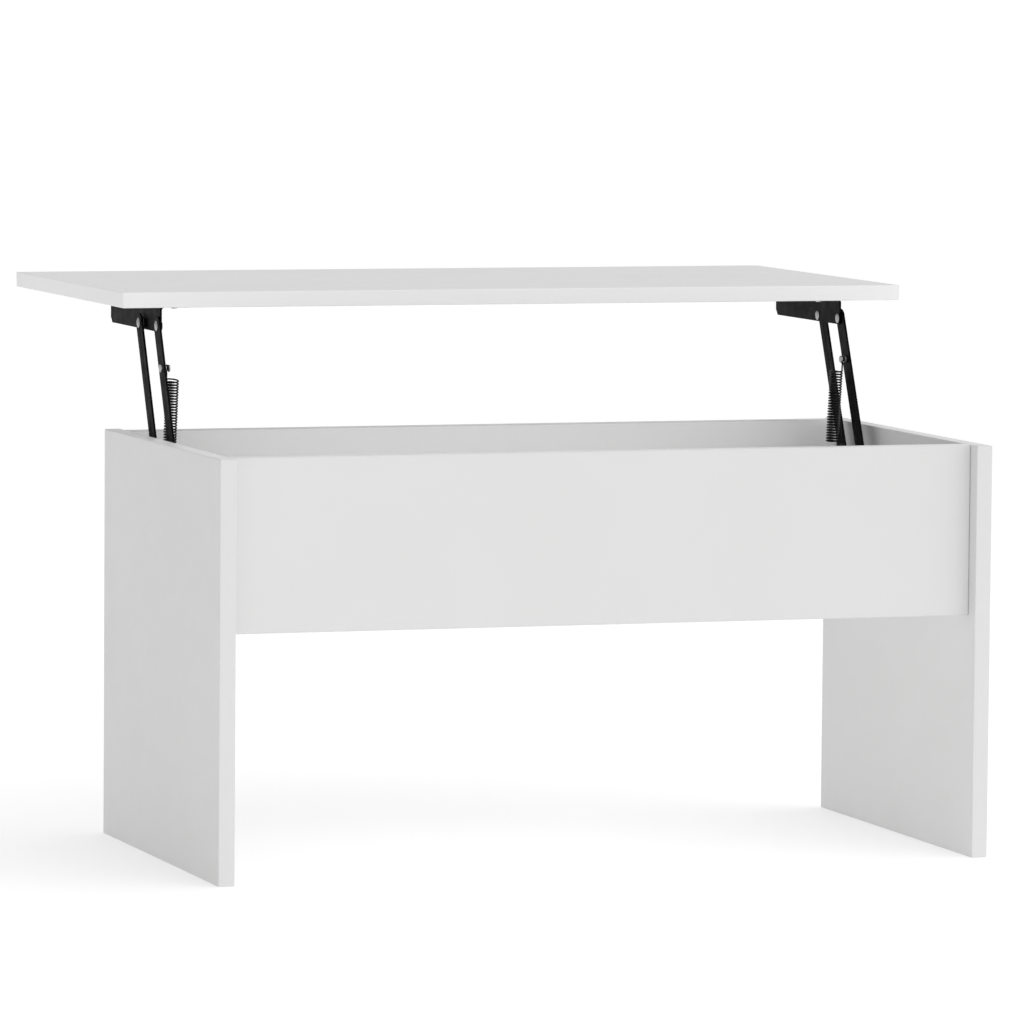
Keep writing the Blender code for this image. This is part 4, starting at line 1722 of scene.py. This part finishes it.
@dataclass
class Studio:
    """A wide pale floor, a white surround and one large soft lamp."""

    floor_reach: float = 260.0
    surround: float = 0.84
    lean: tuple[float, float, float] = (0.50, -0.18, -0.10)
    overhead_power: float = 20.0
    overhead_size: float = 5.0
    overhead_place: tuple[float, float, float] = (0.4, -0.4, 4.5)
    lit_point: tuple[float, float, float] = (0, 0, 0.4)

    def build(self) -> None:
        """Make the floor, the surround and the lamp."""
        mesh = bpy.data.meshes.new("studio_floor")
        reach = self.floor_reach
        mesh.from_pydata([(-reach, -reach, 0), (reach, -reach, 0), (reach, reach, 0), (-reach, reach, 0)], [],
                         [(0, 1, 2, 3)])
        floor = bpy.data.objects.new("studio_floor", mesh)
        floor.data.materials.append(FLOOR.material())
        bpy.context.scene.collection.objects.link(floor)
        world = bpy.data.worlds.new("surround")
        bpy.context.scene.world = world
        world.use_nodes = True
        self.shade_surround(world.node_tree)
        self.hang_lamp()

    def shade_surround(self, tree: bpy.types.NodeTree) -> None:
        """Make the surround brighter on the side that it leans to: strength * (1 + lean . direction).

        Args:
            tree: the world's nodes.
        """
        background = tree.nodes["Background"]
        background.inputs["Color"].default_value = (1, 1, 1, 1)
        place = tree.nodes.new("ShaderNodeTexCoord")
        share = tree.nodes.new("ShaderNodeVectorMath")
        share.operation = "DOT_PRODUCT"
        share.inputs[1].default_value = self.lean
        strength = tree.nodes.new("ShaderNodeMath")
        strength.operation = "MULTIPLY_ADD"
        strength.inputs[1].default_value = self.surround
        strength.inputs[2].default_value = self.surround
        tree.links.new(place.outputs["Generated"], share.inputs[0])
        tree.links.new(share.outputs["Value"], strength.inputs[0])
        tree.links.new(strength.outputs["Value"], background.inputs["Strength"])

    def hang_lamp(self) -> None:
        """Hang the square soft lamp over the table."""
        light = bpy.data.lights.new("overhead", "AREA")
        light.shape = "SQUARE"
        light.size = self.overhead_size
        light.energy = self.overhead_power
        item = bpy.data.objects.new("overhead", light)
        item.location = self.overhead_place
        down = Vector(self.lit_point) - Vector(self.overhead_place)
        item.rotation_euler = down.to_track_quat("-Z", "Y").to_euler()
        bpy.context.scene.collection.objects.link(item)


@dataclass
class Viewpoint:
    """A long lens from the front left, a little above the raised top."""

    place: tuple[float, float, float] = (-2.8081, -8.2181, 1.13922)
    yaw: float = 0.33137
    pitch: float = 0.08506
    roll: float = 0.00835
    lens: float = 244.05
    film_width: float = 36.0
    nearest: float = 0.1
    farthest: float = 800.0

    def build(self) -> None:
        """Make the camera and set it as the scene's."""
        cam = bpy.data.cameras.new("viewpoint")
        cam.lens = self.lens
        cam.sensor_width = self.film_width
        cam.clip_start, cam.clip_end = self.nearest, self.farthest
        item = bpy.data.objects.new("viewpoint", cam)
        flat = math.cos(self.pitch)
        forward = Vector((math.sin(self.yaw) * flat, math.cos(self.yaw) * flat, -math.sin(self.pitch)))
        level = Vector((math.cos(self.yaw), -math.sin(self.yaw), 0))
        upright = level.cross(forward)
        right = math.cos(self.roll) * level + math.sin(self.roll) * upright
        up = -math.sin(self.roll) * level + math.cos(self.roll) * upright
        turn = Matrix((right, up, -forward)).transposed()
        item.matrix_world = Matrix.Translation(self.place) @ turn.to_4x4()
        bpy.context.scene.collection.objects.link(item)
        bpy.context.scene.camera = item
        bpy.context.scene.view_settings.view_transform = "Standard"


def main() -> None:
    """Build every sub-assembly in order, then the studio."""
    logging.basicConfig(level=logging.INFO, format="%(message)s")
    made = Carcass().build()
    # The top's edge strip carries painted light.
    made.append(Board("table_top", "top", Axis.Z, LIT_TOP_BAND).build())
    for side in Side:
        made += Mechanism(side).build()
    made += Fixings().build()
    LOG.info("%d pieces", len(made))
    Studio().build()
    Viewpoint().build()


if __name__ == "__main__":
    main()
